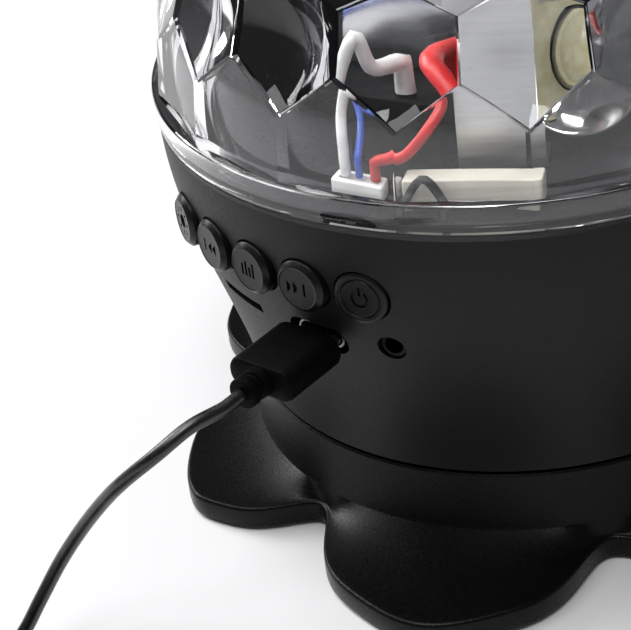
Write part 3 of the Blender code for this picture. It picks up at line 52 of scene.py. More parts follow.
# Petal base
FLOWER_BOTTOM_Z, PETAL_RIM_Z, CREASE_Z, COLLAR_TOP_Z = 0.0010, 0.0050, 0.0081, 0.0192
CREASE_RADIUS, COLLAR_TOP_RADIUS = 0.0509, 0.0500
FIRST_VALLEY, PETAL_SPAN, LONG_PETALS = -91.5, 61.3, 5
PETAL_TIP, SHORT_PETAL_TIP, VALLEY_RADIUS = 0.0734, 0.0686, 0.0521
SHORT_PETAL_RISE, SHORT_PETAL_FALL = 36.0, 17.5
PETAL_WAVE = (1.0, -0.2, 0.1)
PETAL_HOLLOW, RIM_ROUNDING = 2.2, 0.0008
SPIGOT_RADIUS, SPIGOT_HEIGHT = 0.0474, 0.0045
BASE_INSIDE, BASE_OPENING, BASE_FLOOR_Z = 0.0450, 0.0360, 0.0083

# Base plate, its screws and the feet
PLATE_RADIUS, PLATE_BOTTOM_Z, PLATE_TOP_Z = 0.0440, 0.0030, 0.0050
SCREW_PLACE = 0.0400
FOOT_RADIUS, FOOT_HEIGHT, FOOT_PLACE, SHORT_FOOT_PLACE = 0.0045, 0.0019, 0.06001, 0.05742

# Housing
SHELL_BOTTOM_Z, SHELL_HEIGHT = 0.0198, 0.0520
SHELL_TOP_Z = SHELL_BOTTOM_Z + SHELL_HEIGHT
SHELL_BASE_RADIUS, SHELL_TOP_RADIUS, SHELL_WALL = 0.0500, 0.0612, 0.0022
SHELL_LEDGE = ((0.0590, SHELL_TOP_Z), (0.0590, 0.0708), (0.0535, 0.0708), (0.0535, 0.0688), (0.0588, 0.0658))
USB_Z, USB_AZIMUTH = 0.0475, -80.5
CARD_Z, CARD_AZIMUTH = 0.0481, -99.7
JACK_Z, JACK_AZIMUTH = 0.0486, -66.2
# Azimuth, level, width, height and corner of each opening
OPENINGS = (
    (USB_AZIMUTH, USB_Z, 0.0120, 0.0062, 0.0030),
    (CARD_AZIMUTH, CARD_Z, 0.0120, 0.0019, 0.0004),
    (JACK_AZIMUTH, JACK_Z, 0.0050, 0.0050, 0.00249),
)

# Buttons
BUTTON_Z, BUTTON_RADIUS, BUTTON_CORE = 0.0594, 0.0047, 0.0040
BUTTONS = (("light", -110.8), ("previous", -100.4), ("mode", -90.0), ("next", -79.6), ("power", -69.2))
STEM_RADIUS, STEM_CLEAR = 0.0017, 0.0474
TAB_BACK, TAB_THICKNESS, TAB_WIDTH, TAB_HEIGHT = -0.0053, 0.0010, 0.0048, 0.0140
# How far a button stands out, and the radius, drop and rounding of each corner of its top
POWER_TOP = 0.0008, (
    (BUTTON_RADIUS, 0.0003, 0.0002), (0.0041, 0, 0.0003), (0.0036, 0, 0.0001), (0.0034, 0.0003, 0.0002),
    (0.0032, 0, 0.0001), (0.0020, 0, 0),
)
KEY_TOP = 0.0019, (
    (BUTTON_RADIUS, 0.0008, 0.00012), (0.0038, 0, 0.00012), (0.0036, 0.00012, 0.0001), (0.0020, 0.00012, 0),
)

# Dome
SKIRT_BOTTOM_Z, SKIRT_MIDDLE_Z, DOME_LEDGE_Z = 0.0724, 0.0754, 0.0778
SKIRT_FOOT_RADIUS, SKIRT_RADIUS = 0.0614, 0.0617
SPHERE_Z, FACET_INRADIUS, WALL_RADIUS = 0.0794, 0.05925, 0.0581
DOME_CENTRE = Vector((0, 0, SPHERE_Z))
DOME_CUT_Z = 0.0730
# Count, elevation and turn of each row of facets
FACET_ROWS = (
    (18, 6.1, 0.5), (18, 18.9, 0.0), (18, 37.3, 0.5), (12, 56.0, 0.25), (6, 74.0, 0.5), (1, 90.0, 0.0)
)
FIRST_FACET_AZIMUTH, LENS_FROM = -101.7, 12
LENS_THICKNESS, LENS_RADIUS = 0.0042, 0.0300
WALL_STEPS, FACET_BEVEL = 7, 0.00018

# Deck, drive and bracket
DECK_TOP_Z, DECK_RADIUS, DECK_THICKNESS = 0.0731, 0.05635, 0.0020
ON_DECK_Z = DECK_TOP_Z + GAP
HUB_TOP_Z = 0.13415
BRACKET_AZIMUTH, BRACKET_REACH, BRACKET_TOP_Z = -47.3, 0.0440, 0.1084

# Lamps
LAMP_AZIMUTH, LAMP_TILT, LAMP_PLACE, LAMP_RISE = -25, 60, 0.0195, 0.0080
CUP_BACK, CUP_MOUTH, CUP_DEPTH, CUP_WALL = 0.0085, 0.0165, 0.016, 0.0014
BOWL_LOW, BOWL_HIGH, BOWL_HOLE = 0.0023, 0.0156, 0.0027

# Pieces on the deck: piece, azimuth, distance, rise, width, depth, height, corner, corner steps and edge
TERMINAL = ("terminal", -51.9, 0.0520, 0, 0.0216, 0.0040, 0.0048, 0.0006, 4, 0.0004)
CONNECTOR = ("connector", -71.0, 0.0522, 0, 0.0100, 0.0036, 0.0028, 0.0006, 4, 0.0003)
DRIVER = ("driver", -70.5, 0.0370, 0, 0.0150, 0.0090, 0.0140, 0.0008, 4, 0.0004)
HEATSINK = ("heatsink", -70.5, 0.0332, 0.0143, 0.0150, 0.0014, 0.0075, 0.0004, 3, 0.0002)

# Wires: name, radius, colour, straight rise of an end, foot, route and last foot (the blue one ends with its
# route). Each point is a distance from the middle, an azimuth and a level.
CONNECTOR_TOP_Z, DRIVER_TOP_Z = 0.0762, 0.0874
WIRE_SPACING = 0.0009
WIRES = (
    (
        "red", 0.0010, (0.60, 0.02, 0.02), 0.0032, (0.0522, -67.5, CONNECTOR_TOP_Z),
        ((0.0520, -63.4, 0.0814), (0.0500, -59.4, 0.08548), (0.0460, -57.4, 0.0890), (0.0415, -62.5, 0.0922)),
        (0.0370, -63.5, DRIVER_TOP_Z),
    ),
    (
        "black", 0.0007, (0.012, 0.012, 0.013), 0.0016, (0.0559, -62.4, DECK_TOP_Z),
        ((0.0559, -58.9, 0.0795),), (0.0559, -55.4, DECK_TOP_Z),
    ),
    (
        "white", 0.0010, (0.80, 0.80, 0.79), 0.0032, (0.0522, -74.0, CONNECTOR_TOP_Z),
        ((0.0490, -75.5, 0.0874), (0.0460, -72.5, 0.0970), (0.04375, -70.5, 0.0922)),
        (0.03925, -68.0, DRIVER_TOP_Z),
    ),
    (
        "blue", 0.0007, (0.02, 0.08, 0.48), 0.0032, (0.0522, -71.0, CONNECTOR_TOP_Z),
        (
            (0.0460, -73.0, 0.0850), (0.0415, -79.5, 0.0906), (0.0340, -88.5, 0.0906),
            (0.0185, -88.5, 0.0906), (0.0085, -88.5, 0.0906), (0.0085, -88.5, 0.08955),
        ),
        None,
    ),
)

# Charging lead
CORD_RADIUS, CORD_SPACING, CORD_STRAIGHT = 0.0012, 0.001, 0.004
PLUG_WIDTH, PLUG_HEIGHT, PLUG_CORNER, PLUG_LENGTH, PLUG_NECK = 0.0133, 0.0059, 0.0027, 0.0132, 0.0046
PLUG_STANDS_OUT = 0.0021
CORD_ROUTE = (
    (0.0125, -0.0865, 0.0470), (0.0106, -0.0925, 0.0440), (0.0055, -0.0963, 0.0385),
    (0.0006, -0.0980, 0.0328), (-0.0042, -0.1000, 0.0262), (-0.0078, -0.1030, 0.0195),
    (-0.0098, -0.1070, 0.0130), (-0.0112, -0.1112, 0.0072), (-0.0128, -0.1165, 0.0034),
    (-0.0138, -0.1220, 0.0024),
)
COIL_CENTRE, COIL_RADIUS, COIL_PITCH, COIL_TURNS, COIL_LAYERS = (0.0036, -0.1350), 0.0145, 0.00285, 9.25, 4
COIL_SPREAD = COIL_PITCH * COIL_TURNS / COIL_LAYERS
FLOOR_GAP = 0.0001
TIE_WALL, TIE_AZIMUTH = 0.0006, 40
COIL_BOTTOM_Z = FLOOR_GAP + TIE_WALL + GAP + CORD_RADIUS
TAIL_ROUTE = (
    (0.0100, -0.1529, 0.0106), (0.0150, -0.1532, 0.0094), (0.0205, -0.1535, 0.0066),
    (0.0260, -0.1535, 0.0044),
)
CHARGER_WIDTH, CHARGER_HEIGHT, CHARGER_START, CHARGER_END = 0.0150, 0.0074, 0.0060, 0.0240
TAIL_END = Vector((0.0350, -0.1535, FLOOR_GAP + CHARGER_HEIGHT / 2))

# The photograph's camera, and lights: name, azimuth, elevation, distance, width, height, power
PAN, PITCH, ROLL, VIEW_AZIMUTH = -6.71, 31.35, -7.11, 44.6
EYE = (0, -0.32566, 0.22269)
FOCAL_PIXELS, PHOTO_PIXELS = 2000, 631
LIGHTS = (
    ("key_soft", -140, 66, 1.1, 0.8, 0.8, 6.6),
    ("top_soft", -60, 67, 1.1, 0.4, 0.4, 3.6),
    ("left_soft", -165, 28, 0.9, 0.35, 0.5, 4.8),
)
LIGHT_TARGET = Vector((0, 0, 0.07))
SKY_STRENGTH = 0.12


# Shapes


def put(name, data):
    """A new object in the scene."""
    made = bpy.data.objects.new(name, data)
    bpy.context.scene.collection.objects.link(made)
    return made


def shade(mesh, smooth):
    """Smooth shading, except across edges sharper than the given angle."""
    mesh.shade_smooth()
    mesh.set_sharp_from_angle(angle=radians(smooth))


def add(name, edit, smooth=30, place=None):
    """An object of an edited mesh."""
    bmesh.ops.recalc_face_normals(edit, faces=edit.faces[:])
    mesh = bpy.data.meshes.new(name)
    edit.to_mesh(mesh)
    edit.free()
    made = put(name, mesh)
    if place is not None:
        mesh.transform(place)
    shade(mesh, smooth)
    return made


def column(radius, low, high):
    """The profile of a plain round piece."""
    return ((0, low), (radius, low), (radius, high), (0, high))


def soften(points, radius, steps=3, closed=False):
    """A profile with its corners rounded: radius is a length, or one for each point."""
    most = 0.45
    result = []
    count = len(points)
    for index, point in enumerate(points):
        size = radius[index] if isinstance(radius, (list, tuple)) else radius
        if (not closed and index in (0, count - 1)) or size == 0:
            result.append(tuple(point))
            continue
        here = Vector(point)
        back = Vector(points[index - 1]) - here
        on = Vector(points[(index + 1) % count]) - here
        reach = min(size, back.length * most, on.length * most)
        start = here + back.normalized() * reach
        end = here + on.normalized() * reach
        for step in range(steps + 1):
            t = step / steps
            result.append(tuple(start * (1 - t) ** 2 + here * 2 * t * (1 - t) + end * t**2))
    return result


def lathe(name, rings, steps=64, smooth=30, place=None):
    """A closed piece from rings about Z, each (radius or function of the angle, z)."""
    edit = bmesh.new()
    loops = []
    for radius, z in rings:
        if radius == 0:
            loops.append([edit.verts.new((0, 0, z))])
            continue
        loop = []
        for step in range(steps):
            angle = TAU * step / steps
            reach = radius(angle) if callable(radius) else radius
            loop.append(edit.verts.new((reach * cos(angle), reach * sin(angle), z)))
        loops.append(loop)
    pairs = list(zip(loops, loops[1:]))
    if len(loops[0]) > 1:
        pairs.append((loops[-1], loops[0]))
    for low, high in pairs:
        for step in range(steps):
            on = (step + 1) % steps
            corners = [low[step % len(low)], low[on % len(low)], high[on % len(high)], high[step % len(high)]]
            edit.faces.new(list(dict.fromkeys(corners)))
    return add(name, edit, smooth, place)


def prism(name, outline, low, high, smooth=30, place=None, edge=0.0):
    """An outline raised from low to high, with its rims rounded by edge."""
    edit = bmesh.new()
    levels = [(0.0, low), (0.0, high)]
    if edge:
        levels = [(edge, low), (edge * 0.3, low + edge * 0.3), (0, low + edge)]
        levels += [(0, high - edge), (edge * 0.3, high - edge * 0.3), (edge, high)]
    count = len(outline)
    loops = []
    for inset, z in levels:
        loop = []
        for index, point in enumerate(outline):
            before = Vector(outline[index - 1])
            after = Vector(outline[(index + 1) % count])
            along = (after - before).normalized()
            inward = Vector((-along.y, along.x))
            moved = Vector(point) + inward * inset
            loop.append(edit.verts.new((moved.x, moved.y, z)))
        loops.append(loop)
    for a, b in zip(loops, loops[1:]):
        for index in range(count):
            on = (index + 1) % count
            edit.faces.new((a[index], a[on], b[on], b[index]))
    edit.faces.new(loops[0][::-1])
    edit.faces.new(loops[-1])
    return add(name, edit, smooth, place)


def round_box(width, height, radius, steps=6):
    points = []
    for turn, (side, up) in enumerate(((1, -1), (1, 1), (-1, 1), (-1, -1))):
        for step in range(steps + 1):
            angle = pi / 2 * (turn - 1 + step / steps)
            x = side * (width / 2 - radius) + radius * cos(angle)
            y = up * (height / 2 - radius) + radius * sin(angle)
            points.append((x, y))
    return points


def circle(radius, steps=48):
    return [(radius * cos(TAU * k / steps), radius * sin(TAU * k / steps)) for k in range(steps)]


def direction(azimuth, rise):
    """The unit vector at an azimuth and elevation in radians."""
    level = cos(rise)
    return Vector((level * cos(azimuth), level * sin(azimuth), sin(rise)))


def polar(radius, azimuth, z):
    angle = radians(azimuth)
    return Vector((radius * cos(angle), radius * sin(angle), z))


def outward(azimuth, radius, z):
    """A place in the housing wall: local +Z out of it, +X to its right seen from outside, +Y up."""
    angle = radians(azimuth)
    out = Vector((cos(angle), sin(angle), 0))
    right = Vector((-sin(angle), cos(angle), 0))
    turn = Matrix((right, Vector((0, 0, 1)), out)).transposed()
    return Matrix.Translation(out * radius + Vector((0, 0, z))) @ turn.to_4x4()


def turned(angle, axis):
    return Matrix.Rotation(radians(angle), 4, axis)


def upright(azimuth, radius, z):
    """A place on a level: local +Z up and local +Y away from the middle."""
    return Matrix.Translation(polar(radius, azimuth, z)) @ turned(azimuth - 90, "Z")


def apply_steps(made, steps, smooth=30):
    """Booleans, applied at once: steps is a list of (operation, tool), and the tools are deleted."""
    for operation, tool in steps:
        modifier = made.modifiers.new("step", "BOOLEAN")
        modifier.operation = operation
        modifier.object = tool
        modifier.solver = "EXACT"
    bpy.context.view_layer.update()
    graph = bpy.context.evaluated_depsgraph_get()
    mesh = bpy.data.meshes.new_from_object(made.evaluated_get(graph))
    made.modifiers.clear()
    old = made.data
    made.data = mesh
    bpy.data.meshes.remove(old)
    for _, tool in steps:
        bpy.data.objects.remove(tool, do_unlink=True)
    shade(mesh, smooth)
    return made


def cut(made, tools, smooth=30):
    return apply_steps(made, [("DIFFERENCE", tool) for tool in tools], smooth)


def set_normals(made, wanted_at):
    """Corner normals from a rule of the face and the corner's point, so that cuts leave no shading marks."""
    mesh = made.data
    normals = [tuple(n.vector) for n in mesh.corner_normals]
    for face in mesh.polygons:
        for corner in face.loop_indices:
            wanted = wanted_at(face, mesh.vertices[mesh.loops[corner].vertex_index].co)
            if wanted is not None:
                normals[corner] = tuple(wanted)
    mesh.normals_split_custom_set(normals)


def spline(points, spacing):
    """Points spaced evenly along a smooth curve whose first and last stretch stay straight."""
    parts = 24
    knots = [Vector(p) for p in points]
    fine = []
    for index in range(1, len(knots) - 2):
        before, start, end, after = knots[index - 1 : index + 3]
        for part in range(parts):
            t = part / parts
            bend = (2 * before - 5 * start + 4 * end - after) * t**2
            bend += (3 * start - before - 3 * end + after) * t**3
            fine.append((2 * start + (end - before) * t + bend) / 2)
    fine.append(knots[-2])
    lengths = [0.0]
    for start, end in zip(fine, fine[1:]):
        lengths.append(lengths[-1] + (end - start).length)
    count = max(2, round(lengths[-1] / spacing))
    evened = [knots[0]]
    index = 0
    for step in range(count + 1):
        wanted = lengths[-1] * step / count
        while index < len(lengths) - 2 and lengths[index + 1] < wanted:
            index += 1
        share = (wanted - lengths[index]) / (lengths[index + 1] - lengths[index])
        evened.append(fine[index].lerp(fine[index + 1], share))
    evened.append(knots[-1])
    return evened


def tube(name, points, radius, sides=4):
    curve = bpy.data.curves.new(name, "CURVE")
    curve.dimensions = "3D"
    curve.bevel_depth = radius
    curve.bevel_resolution = sides
    curve.use_fill_caps = True
    line = curve.splines.new("POLY")
    line.points.add(len(points) - 1)
    for knot, point in zip(line.points, points):
        knot.co = (*point, 1.0)
    line.use_smooth = True
    return put(name, curve)


# Materials

SPECULAR = "Specular IOR Level"
METALLIC = {"Metallic": 1.0}
# Each finish: colour, roughness, the scale and ends of its drift of colour and of roughness, the scale,
# detail, strength and depth of its grain (cells where there is no detail), and its other sockets
FINISHES = {
    "housing_grain": (
        (0.005, 0.005, 0.0055), 0.48, (90, (0.0044, 0.0044, 0.0049), (0.0056, 0.0056, 0.0062)),
        (2600, 0.42, 0.56), (3400, 3.0, 0.35, 0.00003), {SPECULAR: 0.24},
    ),
    "petal_sandblast": (
        (0.003, 0.003, 0.0032), 0.3, (90, (0.0026, 0.0026, 0.0028), (0.0034, 0.0034, 0.0037)),
        (2300, 0.23, 0.38), (2500, 3.0, 0.7, 0.00008, 0.6), {SPECULAR: 0.16},
    ),
    "button_satin": (
        (0.005, 0.005, 0.0055), 0.33, None, (2400, 0.26, 0.40), (3600, 2.0, 0.2, 0.00002), {SPECULAR: 0.26},
    ),
    "matte_black": (
        (0.003, 0.003, 0.0033), 0.6, None, (900, 0.52, 0.7), (1600, 2.0, 0.2, 0.00003), {SPECULAR: 0.1},
    ),
    "rubber_black": (
        (0.010, 0.010, 0.0105), 0.5, None, (1500, 0.42, 0.6), (4200, 3.0, 0.25, 0.00003), {SPECULAR: 0.4},
    ),
    "plug_texture": (
        (0.0025, 0.0025, 0.0028), 0.5, None, (1800, 0.42, 0.62), (5200, 2.0, 0.5, 0.00003),
        {SPECULAR: 0.04},
    ),
    "cord_jacket": (
        (0.004, 0.004, 0.0044), 0.3, None, (900, 0.24, 0.38), (2600, 2.0, 0.12, 0.00002), {SPECULAR: 0.8},
    ),
    "deck_gloss": (
        (0.008, 0.008, 0.0095), 0.28, (60, (0.007, 0.007, 0.0083), (0.009, 0.009, 0.0107)),
        (700, 0.16, 0.3), (1400, 2.0, 0.1, 0.00003), {SPECULAR: 0.1},
    ),
    "cream_plastic": (
        (0.58, 0.55, 0.47), 0.42, (160, (0.545, 0.515, 0.44), (0.615, 0.585, 0.50)),
        (900, 0.34, 0.5), (1800, 2.0, 0.15, 0.00003),
    ),
    "white_plastic": (
        (0.80, 0.80, 0.79), 0.35, (200, (0.76, 0.76, 0.75), (0.84, 0.84, 0.83)), (900, 0.28, 0.42),
    ),
    "reflector_chrome": (
        (0.93, 0.93, 0.92), 0.05, None, (400, 0.035, 0.085), (160, 2.0, 0.12, 0.00008), METALLIC,
    ),
    "dull_metal": ((0.22, 0.22, 0.23), 0.3, None, (1600, 0.22, 0.4), (2600, 2.0, 0.12, 0.00002), METALLIC),
    "plated_metal": ((0.72, 0.72, 0.73), 0.2, None, (1600, 0.14, 0.3), (2600, 2.0, 0.12, 0.00002), METALLIC),
    "board_lacquer": (
        (0.02, 0.13, 0.06), 0.3, (700, (0.014, 0.10, 0.045), (0.03, 0.17, 0.08), 0.45, 0.55),
        (900, 0.2, 0.42), (900, None, 0.2, 0.00004),
    ),
    "cone_paper": (
        (0.05, 0.05, 0.055), 0.85, (900, (0.035, 0.035, 0.04), (0.075, 0.075, 0.08)),
        (700, 0.78, 0.94), (1600, 4.0, 0.6, 0.00008),
    ),
    "magnet_iron": ((0.16, 0.16, 0.17), 0.5, None, (900, 0.38, 0.62), (1400, 4.0, 0.4, 0.00006), METALLIC),
    "battery_sleeve": (
        (0.03, 0.17, 0.42), 0.28, (120, (0.025, 0.15, 0.38), (0.035, 0.19, 0.46)),
        (500, 0.2, 0.36), (250, 2.0, 0.15, 0.0001),
    ),
    "lamp_phosphor": (
        (0.86, 0.80, 0.52), 0.25, (1500, (0.82, 0.74, 0.42), (0.90, 0.86, 0.62)), (900, 0.18, 0.34),
    ),
    "dome_crystal": (
        (0.98, 0.985, 1.0), 0.0, (40, (0.975, 0.98, 0.995), (0.985, 0.99, 1.0)), None, None,
        {"IOR": 1.59, "Transmission Weight": 1.0},
    ),
    "floor_white": (
        (0.93, 0.93, 0.94), 0.55, (3, (0.925, 0.925, 0.935), (0.935, 0.935, 0.945)), (40, 0.5, 0.62), None,
        {SPECULAR: 0.2},
    ),
}


def surface(name, colour, rough, tones=None, wear=None, grain=None, sockets=None, brush=None):
    """A Principled material with procedural detail in object space, stretched along a brush's way."""
    material = bpy.data.materials.new(name)
    material.use_nodes = True
    tree = material.node_tree
    shader = tree.nodes["Principled BSDF"]
    for key, value in {"Base Color": (*colour, 1.0), "Roughness": rough, **(sockets or {})}.items():
        shader.inputs[key].default_value = value

    def node(kind, output, **inputs):
        """A new node's output, with each input set to a value or linked to another node's output."""
        made = tree.nodes.new("ShaderNode" + kind)
        for key, value in inputs.items():
            socket = made.inputs[key.replace("_", " ")]
            if isinstance(value, bpy.types.NodeSocket):
                tree.links.new(value, socket)
            else:
                socket.default_value = value
        return made.outputs[output]

    def noise(scale, detail=3.0, rough=0.5):
        return node("TexNoise", "Fac", Scale=scale, Detail=detail, Roughness=rough, Vector=place)

    def drift(scale, low, high, start=0.3, end=0.7):
        ends = {"From_Min": start, "From_Max": end, "To_Min": low, "To_Max": high}
        return node("MapRange", "Result", Value=noise(scale), **ends)

    place = node("TexCoord", "Object")
    if brush:
        place = node("Mapping", "Vector", Scale=brush, Vector=place)
    if tones:
        scale, first, second, *ends = tones
        mix = tree.nodes.new("ShaderNodeMix")
        mix.data_type = "RGBA"
        mix.inputs["A"].default_value = (*first, 1.0)
        mix.inputs["B"].default_value = (*second, 1.0)
        tree.links.new(drift(scale, 0.0, 1.0, *(ends or (0.35, 0.65))), mix.inputs["Factor"])
        tree.links.new(mix.outputs["Result"], shader.inputs["Base Color"])
    if wear:
        tree.links.new(drift(*wear), shader.inputs["Roughness"])
    if grain:
        scale, detail, strength, depth, *even = grain
        if detail is None:
            source = node("TexVoronoi", "Distance", Scale=scale, Vector=place)
        else:
            source = noise(scale, detail, *even)
        bump = node("Bump", "Normal", Strength=strength, Distance=depth, Height=source)
        tree.links.new(bump, shader.inputs["Normal"])
    return material


def finish(name):
    return surface(name, *FINISHES[name])


def gloss_black(name="gloss_black", rough=0.14):
    wear, grain = (600, rough * 0.8, rough * 1.3), (900, 2.0, 0.06, 0.00003)
    return surface(name, (0.002, 0.002, 0.0024), rough, None, wear, grain, {SPECULAR: 0.2})


def shades(colour, darker, lighter):
    return tuple(c * darker for c in colour), tuple(min(1, c * lighter) for c in colour)


def steel(name, colour, rough, brush):
    """Drawn or rolled steel: the brush marks run along one axis."""
    tones, wear = (1.0, *shades(colour, 0.9, 1.08)), (1.0, rough * 0.75, rough * 1.3)
    return surface(name, colour, rough, tones, wear, (1.0, 3.0, 0.25, 0.00002), METALLIC, brush)


def insulation(name, colour):
    return surface(name, colour, 0.32, (300, *shades(colour, 0.85, 1.12)), (1100, 0.25, 0.42))


def paint(material, *names):
    """Gives CAD nodes that stay in view a finish."""
    for name in names:
        for holder in NODES[name].material_slots:
            holder.material = material


def dress(made, material, slot, *replaces, body="housing"):
    """Gives a piece its material, its body and the nodes that it stands for; slot is not used."""
    made.data.materials.clear()
    made.data.materials.append(material)
    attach(made, body)
    if replaces:
        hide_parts(*replaces)


# View and light


def set_view():
    """The camera that the photograph was fitted with."""
    pan, pitch, roll = (radians(value) for value in (PAN, PITCH, ROLL))
    ahead = Vector((sin(pan) * cos(pitch), cos(pan) * cos(pitch), -sin(pitch)))
    right = Vector((cos(pan), -sin(pan), 0))
    up = right.cross(ahead)
    side = cos(roll) * right + sin(roll) * up
    top = cos(roll) * up - sin(roll) * right
    turn = Matrix((side, top, -ahead)).transposed().to_4x4()
    data = bpy.data.cameras.new("view")
    data.sensor_width = 36
    data.lens = FOCAL_PIXELS / PHOTO_PIXELS * data.sensor_width
    data.clip_start = 0.01
    camera = put("view", data)
    camera.matrix_world = turned(VIEW_AZIMUTH, "Z") @ Matrix.Translation(EYE) @ turn
    bpy.context.scene.camera = camera


def area_light(name, azimuth, elevation, distance, width, height, power):
    data = bpy.data.lights.new(name, "AREA")
    data.shape = "RECTANGLE"
    data.size = width
    data.size_y = height
    data.energy = power
    made = put(name, data)
    made.location = LIGHT_TARGET + distance * direction(radians(azimuth), radians(elevation))
    made.rotation_euler = (LIGHT_TARGET - made.location).to_track_quat("-Z", "Y").to_euler()


def set_light():
    world = bpy.data.worlds.new("studio")
    bpy.context.scene.world = world
    world.use_nodes = True
    sky = world.node_tree.nodes["Background"]
    sky.inputs["Color"].default_value = (0.96, 0.97, 1.0, 1.0)
    sky.inputs["Strength"].default_value = SKY_STRENGTH
    for light in LIGHTS:
        area_light(*light)
    view = bpy.context.scene.view_settings
    view.view_transform = "Standard"
    view.look = "None"
    view.exposure = 0.0


def set_floor():
    edit = bmesh.new()
    bmesh.ops.create_grid(edit, x_segments=8, y_segments=8, size=3.0)
    floor = add("floor", edit)
    floor.data.materials.append(finish("floor_white"))


# Base and housing


def flower_radius(angle):
    """Equal round petals, and a short lopsided one under the charging socket."""
    turned_by = (degrees(angle) - FIRST_VALLEY) % 360
    number = min(int(turned_by // PETAL_SPAN), LONG_PETALS)
    along = turned_by - number * PETAL_SPAN
    if number < LONG_PETALS:
        tip, share = PETAL_TIP, 2 * along / PETAL_SPAN - 1
    else:
        tip = SHORT_PETAL_TIP
        slope = SHORT_PETAL_RISE if along < SHORT_PETAL_RISE else SHORT_PETAL_FALL
        share = (along - SHORT_PETAL_RISE) / slope
    phase = pi * share
    first, second, third = PETAL_WAVE
    swing = (tip - VALLEY_RADIUS) / (2 * (first + third))
    wave = first * cos(phase) + second * cos(2 * phase) + third * cos(3 * phase)
    return tip + swing * (wave - sum(PETAL_WAVE))


def foot_places():
    """Each foot's azimuth, in the middle of its petal, and its radius."""
    places = [(FIRST_VALLEY + PETAL_SPAN * (index + 0.5), FOOT_PLACE) for index in range(LONG_PETALS)]
    return places + [(FIRST_VALLEY - (360 - LONG_PETALS * PETAL_SPAN) / 2, SHORT_FOOT_PLACE)]


def petal_base():
    def inset(amount):
        return lambda angle: flower_radius(angle) - amount

    def top(share):
        def radius(angle):
            return CREASE_RADIUS + share * (flower_radius(angle) - 0.0007 - CREASE_RADIUS)

        return radius, PETAL_RIM_Z + (CREASE_Z - PETAL_RIM_Z) * (1 - share) ** PETAL_HOLLOW

    recess, seat = PLATE_RADIUS + GAP, PLATE_TOP_Z + GAP
    rings = [(recess, FLOWER_BOTTOM_Z)]
    for amount, rise in ((0.0004, 0), (0.0001, 0.0001), (0.0, 0.0004)):
        rings.append((inset(amount), FLOWER_BOTTOM_Z + rise))
    for step in range(6):
        angle = pi / 2 * step / 5
        level = PETAL_RIM_Z - RIM_ROUNDING + RIM_ROUNDING * sin(angle)
        rings.append((inset(RIM_ROUNDING * (1 - cos(angle))), level))
    rings += [top(share / 16) for share in range(15, -1, -1)]
    rings += [
        (CREASE_RADIUS - 0.00012, CREASE_Z + 0.0004),
        (COLLAR_TOP_RADIUS + 0.00005, COLLAR_TOP_Z - 0.0004),
        (COLLAR_TOP_RADIUS - 0.0003, COLLAR_TOP_Z),
        (SPIGOT_RADIUS, COLLAR_TOP_Z),
        (SPIGOT_RADIUS, COLLAR_TOP_Z + SPIGOT_HEIGHT),
        (BASE_INSIDE, COLLAR_TOP_Z + SPIGOT_HEIGHT),
        (BASE_INSIDE, BASE_FLOOR_Z),
        (BASE_OPENING, BASE_FLOOR_Z),
        (BASE_OPENING, seat),
        (recess, seat),
    ]
    made = lathe("petal_base", rings, 360, smooth=28)
    pocket = column(FOOT_RADIUS + GAP, -0.001, FOOT_HEIGHT + GAP)
    cut(made, [lathe("tool", pocket, 32, place=upright(*place, 0)) for place in foot_places()], smooth=28)
    dress(made, finish("petal_sandblast"), "housing", "flower_base")


def feet():
    rubber = finish("rubber_black")
    profile = soften(column(FOOT_RADIUS, 0, FOOT_HEIGHT), 0.0005, 4)
    for number, place in enumerate(foot_places(), 1):
        made = lathe(f"foot_pad_{number}", profile, 40, place=upright(*place, 0))
        dress(made, rubber, "rubber", f"foot_{number}")


def base_plate():
    made = lathe("speaker_plate", soften(column(PLATE_RADIUS, PLATE_BOTTOM_Z, PLATE_TOP_Z), 0.0003), FINE, 28)
    grille, pitch, screw = 0.0020, 0.0085, 0.0016
    places = [(0.0, 0.0, grille)]
    for ring in (1, 2):
        places += [(*polar(pitch * ring, 60 / ring * index, 0).xy, grille) for index in range(6 * ring)]
    places += [(*polar(SCREW_PLACE, FRONT_AZIMUTH + 120 * index, 0).xy, screw) for index in range(3)]
    tools = []
    for x, y, radius in places:
        flare, low, high = radius + 0.0003, PLATE_BOTTOM_Z - 0.001, PLATE_TOP_Z + 0.001
        hole = ((0, low), (flare, low), (flare, PLATE_BOTTOM_Z), (radius, 0.0034), (radius, high), (0, high))
        tools.append(lathe("tool", hole, 28, place=Matrix.Translation((x, y, 0))))
    cut(made, tools, smooth=28)
    dress(made, finish("petal_sandblast"), "housing", "base_plate")


def base_screws():
    metal = steel("screw_steel", (0.55, 0.55, 0.56), 0.3, (900, 900, 200))
    head = ((0, 0.0014), (0.0015, 0.0014), (0.0022, 0.0018), (0.0024, 0.0023), (0.0024, 0.0027))
    shank = ((0.001, 0.0027), (0.001, 0.0072), (0, 0.0072))
    slot, slot_top = round_box(0.0028, 0.0006, 0.0001, 2), 0.0021
    for index in range(3):
        place = upright(FRONT_AZIMUTH + 120 * index, SCREW_PLACE, 0)
        made = lathe(f"plate_screw_{index + 1}", head + shank, 32, place=place)
        cut(made, [prism("tool", slot, 0, slot_top, place=place @ turned(turn, "Z")) for turn in (0, 90)])
        dress(made, metal, "screws", f"base_screw_{index + 1}")


def shell_radius(z):
    share = min(1.0, max(0.0, (z - SHELL_BOTTOM_Z) / SHELL_HEIGHT)) ** 0.85
    return SHELL_BASE_RADIUS + (SHELL_TOP_RADIUS - SHELL_BASE_RADIUS) * share * share * (3 - 2 * share)


